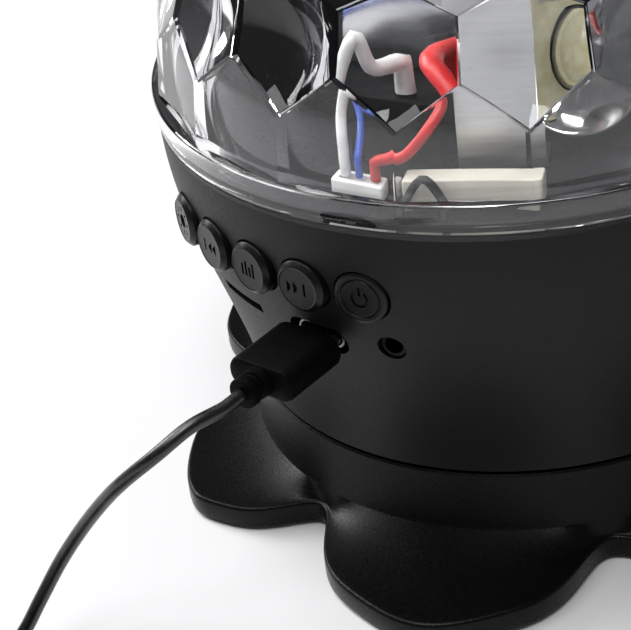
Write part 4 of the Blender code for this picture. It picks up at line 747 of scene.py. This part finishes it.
def shell_normal(face, point):
    """The housing's outward direction on its outer wall, or None away from it."""
    reach = hypot(point.x, point.y)
    if reach < 1e-6 or abs(reach - shell_radius(point.z)) > 0.00006:
        return None
    if not SHELL_BOTTOM_Z + 0.0003 < point.z < SHELL_TOP_Z - 0.0003:
        return None
    step = 0.0002
    slope = (shell_radius(point.z + step) - shell_radius(point.z - step)) / (2 * step)
    wanted = Vector((point.x / reach, point.y / reach, -slope)).normalized()
    return wanted if wanted.dot(face.normal) > 0.94 else None


def on_wall(azimuth, z, beyond=0.0):
    """A place on the housing's outer wall, or this far out of it."""
    return outward(azimuth, shell_radius(z) + beyond, z)


def housing_shell():
    steps = 40
    rings = [(SHELL_BASE_RADIUS - 0.0002, SHELL_BOTTOM_Z)]
    for step in range(steps + 1):
        z = SHELL_BOTTOM_Z + 0.0002 + (SHELL_HEIGHT - 0.0005) * step / steps
        rings.append((shell_radius(z), z))
    rings += [(SHELL_TOP_RADIUS - 0.0003, SHELL_TOP_Z), *SHELL_LEDGE]
    for step in range(9, -1, -1):
        z = SHELL_BOTTOM_Z + 0.0445 * step / 9
        rings.append((shell_radius(z) - SHELL_WALL, z))
    made = lathe("housing_shell", rings, FINE, smooth=28)
    holes = [(azimuth, BUTTON_Z, circle(BUTTON_RADIUS + GAP, 64)) for _, azimuth in BUTTONS]
    holes += [(azimuth, z, round_box(*box, 12)) for azimuth, z, *box in OPENINGS]
    tools = [prism("tool", hole, -0.006, 0.004, place=on_wall(azimuth, z)) for azimuth, z, hole in holes]
    cut(made, tools, smooth=28)
    set_normals(made, shell_normal)
    dress(made, finish("housing_grain"), "housing", "body_shell")


# Controls


def triangle(x, size, side):
    back, tip = x - side * size * 0.45, x + side * size * 0.55
    points = [(back, -size), (tip, 0), (back, size)]
    return points if side > 0 else points[::-1]


def bar(x, y, width, height):
    corners = ((-1, -1), (1, -1), (1, 1), (-1, 1))
    return [(x + side * width / 2, y + up * height / 2) for side, up in corners]


def arc_band(radius, width, start, end, steps=28):
    outer, inner = [], []
    for step in range(steps + 1):
        angle = radians(start + (end - start) * step / steps)
        outer.append(((radius + width / 2) * cos(angle), (radius + width / 2) * sin(angle)))
        inner.append(((radius - width / 2) * cos(angle), (radius - width / 2) * sin(angle)))
    return outer + inner[::-1]


def sign_outlines(name):
    """Plain symbols in millimetres: a lamp with rays, skip back, level bars, skip on, power."""
    if name == "light":
        rays = []
        for index in range(8):
            ray = Matrix.Rotation(TAU * index / 8, 2)
            rays.append([tuple(ray @ Vector(p)) for p in bar(2.3, 0, 0.9, 0.4)])
        return [circle(1.25, 24)] + rays
    if name == "previous":
        return [triangle(0.35, 1.15, -1), triangle(1.65, 1.15, -1), bar(-1.35, 0, 0.45, 2.3)]
    if name == "next":
        return [triangle(-0.35, 1.15, 1), triangle(-1.65, 1.15, 1), bar(1.35, 0, 0.45, 2.3)]
    if name == "mode":
        levels = ((-1.3, -0.2, 2.2), (-0.43, 0.1, 2.8), (0.43, -0.35, 1.9), (1.3, 0.1, 2.8))
        return [bar(x, y, 0.5, height) for x, y, height in levels]
    return [arc_band(1.35, 0.42, -235, 55), bar(0, 1.35, 0.42, 1.5)]


def push_buttons():
    satin = finish("button_satin")
    tab_front = TAB_BACK + TAB_THICKNESS
    tab_outline = round_box(TAB_WIDTH, TAB_HEIGHT, 0.0003, 2)
    for name, azimuth in BUTTONS:
        place = on_wall(azimuth, BUTTON_Z)
        aside = radians(abs(azimuth - FRONT_AZIMUTH))
        stem = (STEM_CLEAR + STEM_RADIUS * sin(aside)) / cos(aside) - shell_radius(BUTTON_Z)
        profile = [(0, stem), (STEM_RADIUS, stem), (STEM_RADIUS, TAB_BACK), (BUTTON_CORE, TAB_BACK)]
        profile += [(BUTTON_CORE, tab_front), (BUTTON_RADIUS, tab_front + GAP)]
        proud, top = POWER_TOP if name == "power" else KEY_TOP
        corners = [(BUTTON_RADIUS, -0.001)] + [(radius, proud - drop) for radius, drop, _ in top]
        profile += soften(corners, [0] + [rounding for _, _, rounding in top])
        face = corners[-1][1]
        made = lathe(f"push_{name}", profile + [(0, face)], 96, smooth=24, place=place)
        steps = [("UNION", prism("tool", tab_outline, TAB_BACK + GAP, tab_front, place=place))]
        for outline in sign_outlines(name):
            scaled = [(x * 0.001, y * 0.001) for x, y in outline]
            steps.append(("DIFFERENCE", prism("tool", scaled, face - 0.0004, face + 0.001, place=place)))
        apply_steps(made, steps, smooth=24)
        dress(made, satin, "buttons", f"button_{name}", body=f"{name}_button")


def socket_pieces():
    metal = finish("dull_metal")
    inset, depth, pocket_depth = 0.0009, 0.0073, 0.0064
    width, height, corner, wall = 0.0096, 0.0038, 0.00189, 0.0004
    place = on_wall(USB_AZIMUTH, USB_Z, -inset)
    made = prism("usb_jacket", round_box(width, height, corner, 10), -depth, 0, place=place, edge=0.00012)
    pocket = round_box(width - 2 * wall, height - 2 * wall, corner - wall, 10)
    cut(made, [prism("tool", pocket, -pocket_depth, 0.002, place=place)])
    dress(made, metal, "socket_steel", "usb_socket")
    paint(metal, "card_socket")
    paint(gloss_black("jack_black", 0.25), "audio_jack")
    inset, hole, rim, back = 0.0014, 0.0017, 0.0023, -0.003
    rings = soften(((hole, back), (rim, back), (rim, GAP), (hole, GAP)), 0.00015, closed=True)
    made = lathe("jack_rim", rings, place=on_wall(JACK_AZIMUTH, JACK_Z, -inset))
    dress(made, gloss_black("jack_gloss", 0.18), "cups")


# Crystal dome


def facet_normals():
    """Each facet's outward direction, from the ledge to the crown."""
    found = []
    for count, elevation, turn in FACET_ROWS:
        for index in range(count):
            azimuth = radians(FIRST_FACET_AZIMUTH + 360 / count * (index + turn))
            found.append(direction(azimuth, radians(elevation)))
    return found


def lens_point(outer, middle):
    """The point of a lens's inner face behind a point of its flat outer face."""
    aside = (outer - middle).length
    thick = LENS_THICKNESS - aside * aside / (2 * LENS_RADIUS)
    return DOME_CENTRE + (outer - DOME_CENTRE) * (1 - thick / FACET_INRADIUS)


def lens_patch(edit, corners, middle, steps=8, rings=9):
    """The inner face of one upper facet."""
    rim = []
    for index, corner in enumerate(corners):
        after = corners[(index + 1) % len(corners)]
        rim += [corner.lerp(after, step / steps) for step in range(steps)]
    loops = []
    for ring in range(rings):
        share = 1 - ring / rings
        loops.append([edit.verts.new(lens_point(middle.lerp(point, share), middle)) for point in rim])
    for low, high in zip(loops, loops[1:]):
        for index in range(len(rim)):
            on = (index + 1) % len(rim)
            edit.faces.new((low[index], low[on], high[on], high[index]))
    crown = edit.verts.new(lens_point(middle, middle))
    for index in range(len(rim)):
        edit.faces.new((loops[-1][index], loops[-1][(index + 1) % len(rim)], crown))


def dome_hollow(shell):
    """The space inside the dome: a lens behind each upper facet, and a round wall behind the lowest row."""
    edit = bmesh.new()
    for face in shell.data.polygons:
        rise = degrees(asin(max(-1.0, min(1.0, face.normal.z))))
        if rise < LENS_FROM:
            continue
        corners = [shell.data.vertices[index].co.copy() for index in face.vertices]
        lens_patch(edit, corners, DOME_CENTRE + face.normal * FACET_INRADIUS)
    bmesh.ops.remove_doubles(edit, verts=edit.verts[:], dist=1e-6)
    open_edges = [edge for edge in edit.edges if len(edge.link_faces) == 1]
    rim = {vertex for edge in open_edges for vertex in edge.verts}
    columns = []
    for vertex in sorted(rim, key=lambda vertex: atan2(vertex.co.y, vertex.co.x)):
        out = vertex.co - DOME_CENTRE
        azimuth = atan2(out.y, out.x)
        rise = asin(out.z / out.length)
        points = [vertex]
        for step in range(WALL_STEPS + 1):
            way = direction(azimuth, rise * (1 - step / WALL_STEPS))
            points.append(edit.verts.new(DOME_CENTRE + way * WALL_RADIUS))
        foot = (cos(azimuth) * WALL_RADIUS, sin(azimuth) * WALL_RADIUS, SKIRT_BOTTOM_Z - 0.002)
        points.append(edit.verts.new(foot))
        columns.append(points)
    for index, points in enumerate(columns):
        after = columns[(index + 1) % len(columns)]
        for step in range(len(points) - 1):
            edit.faces.new((points[step], points[step + 1], after[step + 1], after[step]))
    edit.faces.new([points[-1] for points in columns])
    return add("dome_hollow", edit, smooth=40)


def crystal_outside(facets, bevel):
    """A ball cut flat once for each facet, with narrow polished bevels between them."""
    edit = bmesh.new()
    bmesh.ops.create_cube(edit, size=4 * FACET_INRADIUS, matrix=Matrix.Translation(DOME_CENTRE))
    planes = [(DOME_CENTRE + normal * FACET_INRADIUS, normal) for normal in facets]
    planes.append((Vector((0, 0, DOME_CUT_Z)), Vector((0, 0, -1))))
    for point, normal in planes:
        everything = edit.verts[:] + edit.edges[:] + edit.faces[:]
        sliced = bmesh.ops.bisect_plane(
            edit, geom=everything, plane_co=point, plane_no=normal, clear_outer=True, dist=1e-7
        )
        rim = [item for item in sliced["geom_cut"] if isinstance(item, bmesh.types.BMEdge)]
        if rim:
            bmesh.ops.contextual_create(edit, geom=rim)
    if bevel:
        bmesh.ops.bevel(
            edit, geom=edit.edges[:], offset=bevel, offset_type="OFFSET", segments=2, profile=0.5,
            affect="EDGES", clamp_overlap=True,
        )
    return add("dome_shell", edit)


def facet_normal(face, facets):
    """The facet's own direction on the dome's outside, so that its reflection stays flat after the cuts."""
    inside = (face.center - DOME_CENTRE).length < FACET_INRADIUS - 0.0004
    if inside or face.center.z < DOME_LEDGE_Z + 0.0001:
        return None
    nearest = max(facets, key=face.normal.dot)
    return nearest if nearest.dot(face.normal) > 0.9999 else face.normal


def dome():
    facets = facet_normals()
    made = crystal_outside(facets, FACET_BEVEL)
    plain = crystal_outside(facets, 0)
    top = SPHERE_Z + FACET_INRADIUS
    skirt = (
        (0, SKIRT_BOTTOM_Z), (SKIRT_FOOT_RADIUS, SKIRT_BOTTOM_Z), (SKIRT_RADIUS, SKIRT_MIDDLE_Z),
        (SKIRT_RADIUS, DOME_LEDGE_Z), (0, DOME_LEDGE_Z),
    )
    skirt = soften(skirt, (0, 0.0006, 0.0010, 0.0007, 0), 4)
    boss = soften(column(0.009, top - 0.0042, top - 0.001), 0.0004)
    steps = [
        ("UNION", lathe("tool", skirt, FINE)),
        ("DIFFERENCE", dome_hollow(plain)),
        ("UNION", lathe("tool", boss)),
    ]
    apply_steps(made, steps, smooth=14)
    bpy.data.objects.remove(plain, do_unlink=True)
    set_normals(made, lambda face, _: facet_normal(face, facets))
    made.visible_shadow = False
    dress(made, finish("dome_crystal"), "dome", "crystal_dome", body="dome")


# Deck, drive and lamps


def deck():
    low, high, hole = DECK_TOP_Z - DECK_THICKNESS, DECK_TOP_Z, 0.0035
    made = lathe("deck_disc", soften(column(DECK_RADIUS, low, high), 0.0003), FINE, smooth=28)
    tool = lathe("tool", column(hole, low - 0.001, high + 0.001), 48, place=upright(-84, 0.03, 0))
    cut(made, [tool], smooth=28)
    dress(made, finish("deck_gloss"), "housing", "deck_plate")


def dome_drive():
    top = HUB_TOP_Z
    bore, barrel, rim = 0.0023, 0.0045, 0.0080
    ceiling, foot, flange = top - 0.0015, top - 0.01, top - 0.002
    rings = (
        (0, ceiling), (bore, ceiling), (bore, foot), (barrel, foot), (barrel, flange), (rim, flange),
        (rim, top), (0, top),
    )
    made = lathe("hub", soften(rings, (0, 0, 0, 0.0003, 0.0006, 0.0004, 0.0004, 0)), smooth=35)
    dress(made, finish("white_plastic"), "white_plastic", "dome_hub", body="dome")
    shaft = soften(column(0.0020, 0.1071, ceiling - GAP), 0.0002)
    dress(lathe("shaft", shaft, 32, 35), finish("plated_metal"), "motor_steel", "drive_shaft", body="dome")
    can = steel("motor_can_steel", (0.62, 0.62, 0.63), 0.28, (300, 300, 30))
    radius, seam, low, high = 0.0120, 0.0117, 0.0978, 0.1068
    rings = (
        (0, low), (radius, low), (radius, 0.1022), (seam, 0.1023), (seam, 0.1026), (radius, 0.1027),
        (radius, high), (0, high),
    )
    made = lathe("gear_case", soften(rings, (0, 0.0005, 0, 0, 0, 0, 0.0005, 0)), 96, smooth=35)
    dress(made, can, "motor_steel", "gearbox")
    made = lathe("motor_can", soften(column(0.0075, 0.0810, 0.0975), 0.0007, 4), 72, smooth=35)
    dress(made, can, "motor_steel", "motor")


def bracket():
    low, high, thick, half = ON_DECK_Z, BRACKET_TOP_Z, 0.0012, 0.0062
    inner, start = BRACKET_REACH - thick, 0.0070
    toe = inner - 0.0080
    side = (
        (toe, low), (BRACKET_REACH, low), (BRACKET_REACH, high), (start, high), (start, high - thick),
        (inner, high - thick), (inner, low + thick), (toe, low + thick),
    )
    side = soften(side, (0, 0.0022, 0.0022, 0, 0, 0.001, 0.001, 0), 5)
    rivet = soften(column(0.0018, 0.0006, 0.0020), (0, 0, 0.0007, 0), 4)
    legs, rivets = [], []
    for index in range(3):
        azimuth = BRACKET_AZIMUTH + 120 * index
        place = turned(azimuth, "Z") @ turned(90, "X")
        legs.append(prism(f"motor_stand_{index + 1}", side, -half, half, place=place, edge=0.00015))
        rivets.append(lathe("tool", rivet, 32, place=upright(azimuth, 0.0388, low)))
    disc = lathe("tool", soften(column(0.0140, high - 0.0013, high + 0.0001), 0.0003, 2), 96)
    hole = lathe("tool", column(0.0035, high - 0.003, high + 0.002), 48)
    steps = [("UNION", legs[1]), ("UNION", legs[2]), ("UNION", disc), ("DIFFERENCE", hole)]
    made = apply_steps(legs[0], steps + [("UNION", rivet) for rivet in rivets])
    metal = steel("bracket_steel", (0.82, 0.82, 0.83), 0.34, (60, 60, 900))
    dress(made, metal, "bracket", "motor_bracket")


def cup_inside(depth):
    return CUP_BACK + (CUP_MOUTH - CUP_BACK) * depth / CUP_DEPTH - CUP_WALL


def bowl_rings():
    """A reflector: a cone outside, a lip, and a curved mirror down to the emitter's hole."""
    gap, wall, steps = 0.00045, 0.0007, 14
    low, high, hole = BOWL_LOW, BOWL_HIGH, BOWL_HOLE
    rim, back = cup_inside(high) - gap, cup_inside(low) - gap
    rings = [(hole, low), (back, low), (rim, high - 0.0002), (rim - 0.0002, high), (rim - 0.0005, high)]
    floor, mouth = low + wall, rim - wall
    steepness = (high - 0.0003 - floor) / (mouth**2 - hole**2)
    for step in range(steps, -1, -1):
        radius = hole + (mouth - hole) * step / steps
        rings.append((radius, floor + steepness * (radius**2 - hole**2)))
    return rings


def bulb_rings():
    """An emitter: a round foot under a low dome."""
    foot_radius, radius, height = 0.0024, 0.0022, 0.0016
    foot = BOWL_LOW + 0.001
    rings = [(0, BOWL_LOW), (foot_radius, BOWL_LOW), (foot_radius, foot)]
    for rise in range(5, 90, 12):
        angle = radians(rise)
        rings.append((radius * cos(angle), foot + height * sin(angle)))
    return rings + [(0, foot + height)]


def lamps():
    black, chrome, yellow = gloss_black(), finish("reflector_chrome"), finish("lamp_phosphor")
    floor, below = 0.0020, -0.00002
    wall = ((0, 0), (CUP_BACK, 0), (CUP_MOUTH, CUP_DEPTH), (cup_inside(CUP_DEPTH), CUP_DEPTH))
    wall = soften(wall + ((cup_inside(floor), floor), (0, floor)), (0, 0.0006, 0.0006, 0.0006, 0.0003, 0), 5)
    space = ((0, below), (CUP_BACK, below), (CUP_MOUTH, CUP_DEPTH), (0, CUP_DEPTH))
    for number in range(1, 4):
        azimuth = LAMP_AZIMUTH + 120 * (number - 1)
        turn = turned(azimuth, "Z") @ turned(LAMP_TILT, "Y")
        place = Matrix.Translation(polar(LAMP_PLACE, azimuth, ON_DECK_Z + LAMP_RISE)) @ turn
        made = lathe(f"cup_{number}", wall, 128, smooth=40, place=place)
        dress(made, black, "cups", f"lamp_cup_{number}")
        foot = upright(azimuth, LAMP_PLACE, ON_DECK_Z)
        post = lathe(f"cup_stand_{number}", column(0.0050, 0, 0.0090), place=foot)
        cut(post, [lathe("tool", space, place=place)])
        dress(post, black, "cups", f"lamp_cup_{number}")
        made = lathe(f"bowl_{number}", bowl_rings(), 128, smooth=35, place=place)
        dress(made, chrome, "reflectors", f"reflector_{number}")
        made = lathe(f"bulb_{number}", bulb_rings(), 48, smooth=35, place=place)
        dress(made, yellow, "emitters", f"emitter_{number}")


def deck_box(name, azimuth, distance, rise, width, depth, height, corner, steps, edge):
    place = upright(azimuth, distance, ON_DECK_Z + rise)
    return prism(name, round_box(width, depth, corner, steps), 0, height, place=place, edge=edge)


def terminal_pieces():
    dress(deck_box(*TERMINAL), finish("cream_plastic"), "white_plastic", "terminal_block")
    made = deck_box(*CONNECTOR)
    slot = round_box(0.0078, 0.0018, 0.0003, 2)
    cut(made, [prism("tool", slot, 0.0018, 0.005, place=upright(*CONNECTOR[1:3], ON_DECK_Z))])
    dress(made, finish("white_plastic"), "white_plastic", "wire_connector")
    dress(deck_box(*DRIVER), finish("matte_black"), "cups", "lamp_driver")
    metal = steel("satin_aluminium", (0.95, 0.95, 0.96), 0.24, (60, 60, 600))
    dress(deck_box(*HEATSINK), metal, "bracket", "driver_heatsink")


def lead_end(radius, azimuth, top, rise):
    """A wire's foot, a gap above what it meets, and the point that it rises straight up to."""
    foot = polar(radius, azimuth, top + GAP)
    return [foot, foot + Vector((0, 0, rise))]


def wires():
    """Loose leads on the deck, along the frame's routes."""
    for name, radius, colour, rise, foot, route, last in WIRES:
        points = lead_end(*foot, rise) + [polar(*point) for point in route]
        if last:
            points += lead_end(*last, rise)[::-1]
        made = tube(f"lead_{name}", spline(points, WIRE_SPACING), radius, 3)
        dress(made, insulation(f"lead_{name}", colour), f"wire_{name}", f"wire_{name}")


def hidden_pieces():
    """The frame's own solids, inside the housing, with their finishes."""
    paint(finish("board_lacquer"), "main_board", "button_board")
    paint(gloss_black("tray_black", 0.35), "battery_tray")
    paint(finish("battery_sleeve"), "battery_cell")
    paint(steel("basket_steel", (0.45, 0.45, 0.46), 0.35, (300, 300, 300)), "speaker_basket")
    paint(finish("magnet_iron"), "speaker_magnet")
    paint(finish("cone_paper"), "speaker_cone")


# Charging lead

PLUG_PLACE = on_wall(USB_AZIMUTH, USB_Z, PLUG_STANDS_OUT)
PLUG_END = shell_radius(USB_Z) + PLUG_STANDS_OUT + PLUG_LENGTH + PLUG_NECK
# The plug's neck, from the moulding's end: a collar, a waist and a collar round the cord
NECK = (
    (0, -0.001), (0.0027, -0.001), (0.0027, 0.0016), (0.0020, 0.0016), (0.0020, 0.0026), (0.0027, 0.0026),
    (0.0027, PLUG_NECK), (0, PLUG_NECK),
)
NECK_ROUNDING = (0, 0, 0.0003, 0.0002, 0.0002, 0.0003, 0.0004, 0)


def plug_pieces():
    outline = round_box(PLUG_WIDTH, PLUG_HEIGHT, PLUG_CORNER, 10)
    made = prism("plug_mould", outline, 0, PLUG_LENGTH, smooth=50, place=PLUG_PLACE, edge=0.0007)
    rings = soften([(radius, PLUG_LENGTH + z) for radius, z in NECK], NECK_ROUNDING)
    apply_steps(made, [("UNION", lathe("tool", rings, place=PLUG_PLACE))], smooth=28)
    dress(made, finish("plug_texture"), "lead", "usb_plug_body")
    outline = round_box(0.0082, 0.0024, 0.00119, 10)
    made = prism("plug_metal", outline, -0.0066, -GAP, place=PLUG_PLACE, edge=0.00015)
    dress(made, finish("dull_metal"), "socket_steel", "usb_plug_shell")


def coil_points():
    """Four layers that spiral in and out again, and climb where they turn back."""
    per_layer = COIL_TURNS / COIL_LAYERS
    count = round(72 * COIL_TURNS)
    points = []
    for step in range(count + 1):
        turn = COIL_TURNS * step / count
        layer = min(int(turn / per_layer), COIL_LAYERS - 1)
        along = turn / per_layer - layer
        inward = along if layer % 2 == 0 else 1 - along
        radius = COIL_RADIUS + COIL_SPREAD / 2 - COIL_SPREAD * inward
        level = 0.0
        for edge in range(1, COIL_LAYERS):
            climb = min(1.0, max(0.0, (turn - edge * per_layer) / 0.5 + 0.5))
            level += climb * climb * (3 - 2 * climb)
        angle = pi + TAU * turn
        x = COIL_CENTRE[0] + radius * cos(angle)
        y = COIL_CENTRE[1] + radius * sin(angle)
        points.append(Vector((x, y, COIL_BOTTOM_Z + COIL_PITCH * level)))
    return points


def charger_pieces(rubber):
    """The full-size plug at the lead's far end."""
    place = Matrix.Translation(TAIL_END + Vector((GAP, 0, 0))) @ (turned(90, "Y") @ turned(90, "Z"))
    outline = round_box(CHARGER_WIDTH, CHARGER_HEIGHT, 0.0020)
    plug = prism("charger_plug", outline, CHARGER_START, CHARGER_END, place=place, edge=0.0006)
    neck = soften(column(2 * CORD_RADIUS, 0, CHARGER_START + 0.0006), (0, 0.0003, 0, 0))
    apply_steps(plug, [("UNION", lathe("tool", neck, 48, place=place))])
    dress(plug, rubber, "lead", "far_plug_body")
    width, height, wall, tip, pocket_floor = 0.0120, 0.0045, 0.0003, 0.0361, 0.0260
    outline = round_box(width, height, 0.0003, 3)
    shell = prism("charger_shell", outline, CHARGER_END + GAP, tip, place=place, edge=0.0001)
    pocket = round_box(width - 2 * wall, height - 2 * wall, 0.0002, 2)
    tools = [prism("tool", pocket, pocket_floor, 0.040, place=place)]
    window, aside, along = round_box(0.0020, 0.010, 0.0001, 1), 0.0030, 0.0312
    for x in (-aside, aside):
        spot = place @ Matrix.Translation((x, 0, along))
        tools.append(prism("tool", window, -0.001, 0.001, place=spot))
    cut(shell, tools)
    dress(shell, finish("plated_metal"), "socket_steel", "far_plug_shell")
    return plug, shell


def coil_tie(rubber):
    """A band round the coil's turns."""
    width = COIL_SPREAD + 2 * CORD_RADIUS + 2 * GAP
    height = COIL_PITCH * (COIL_LAYERS - 1) + 2 * CORD_RADIUS + 2 * GAP
    middle_z = COIL_BOTTOM_Z + COIL_PITCH * (COIL_LAYERS - 1) / 2
    spot = Vector((*COIL_CENTRE, middle_z)) + polar(COIL_RADIUS, TIE_AZIMUTH, 0)
    band = Matrix.Translation(spot) @ turned(TIE_AZIMUTH, "Z") @ turned(90, "X")
    outline = round_box(width + 2 * TIE_WALL, height + 2 * TIE_WALL, 0.0010, 5)
    tie = prism("tie", outline, -0.0015, 0.0015, place=band, edge=0.00015)
    cut(tie, [prism("tool", round_box(width, height, 0.0004, 4), -0.004, 0.004, place=band)])
    dress(tie, rubber, "lead", "cable_tie")
    return tie


def lead():
    wound = coil_points()
    start = polar(PLUG_END + GAP, USB_AZIMUTH, USB_Z)
    straight = polar(PLUG_END + GAP + CORD_STRAIGHT, USB_AZIMUTH, USB_Z)
    joint = wound[0] + Vector((0, 2 * CORD_RADIUS + GAP, 0))
    ahead = joint + Vector((0, CORD_STRAIGHT, 0))
    free = spline([start, straight, *CORD_ROUTE, ahead, joint], CORD_SPACING)
    before_end = TAIL_END - Vector((CORD_STRAIGHT, 0, 0))
    tail = spline([*wound[-2:], *TAIL_ROUTE, before_end, TAIL_END], CORD_SPACING)
    points = free + wound + tail[2:]
    made = tube("charging_cord", points, CORD_RADIUS, 4)
    dress(made, finish("cord_jacket"), "lead", "usb_cord", "usb_cord_coil")
    rubber = finish("plug_texture")
    plug, shell = charger_pieces(rubber)
    tie = coil_tie(rubber)


petal_base()
feet()
base_plate()
base_screws()
housing_shell()
push_buttons()
socket_pieces()
deck()
dome()
dome_drive()
bracket()
lamps()
terminal_pieces()
wires()
hidden_pieces()
plug_pieces()
lead()
set_floor()
set_view()
set_light()
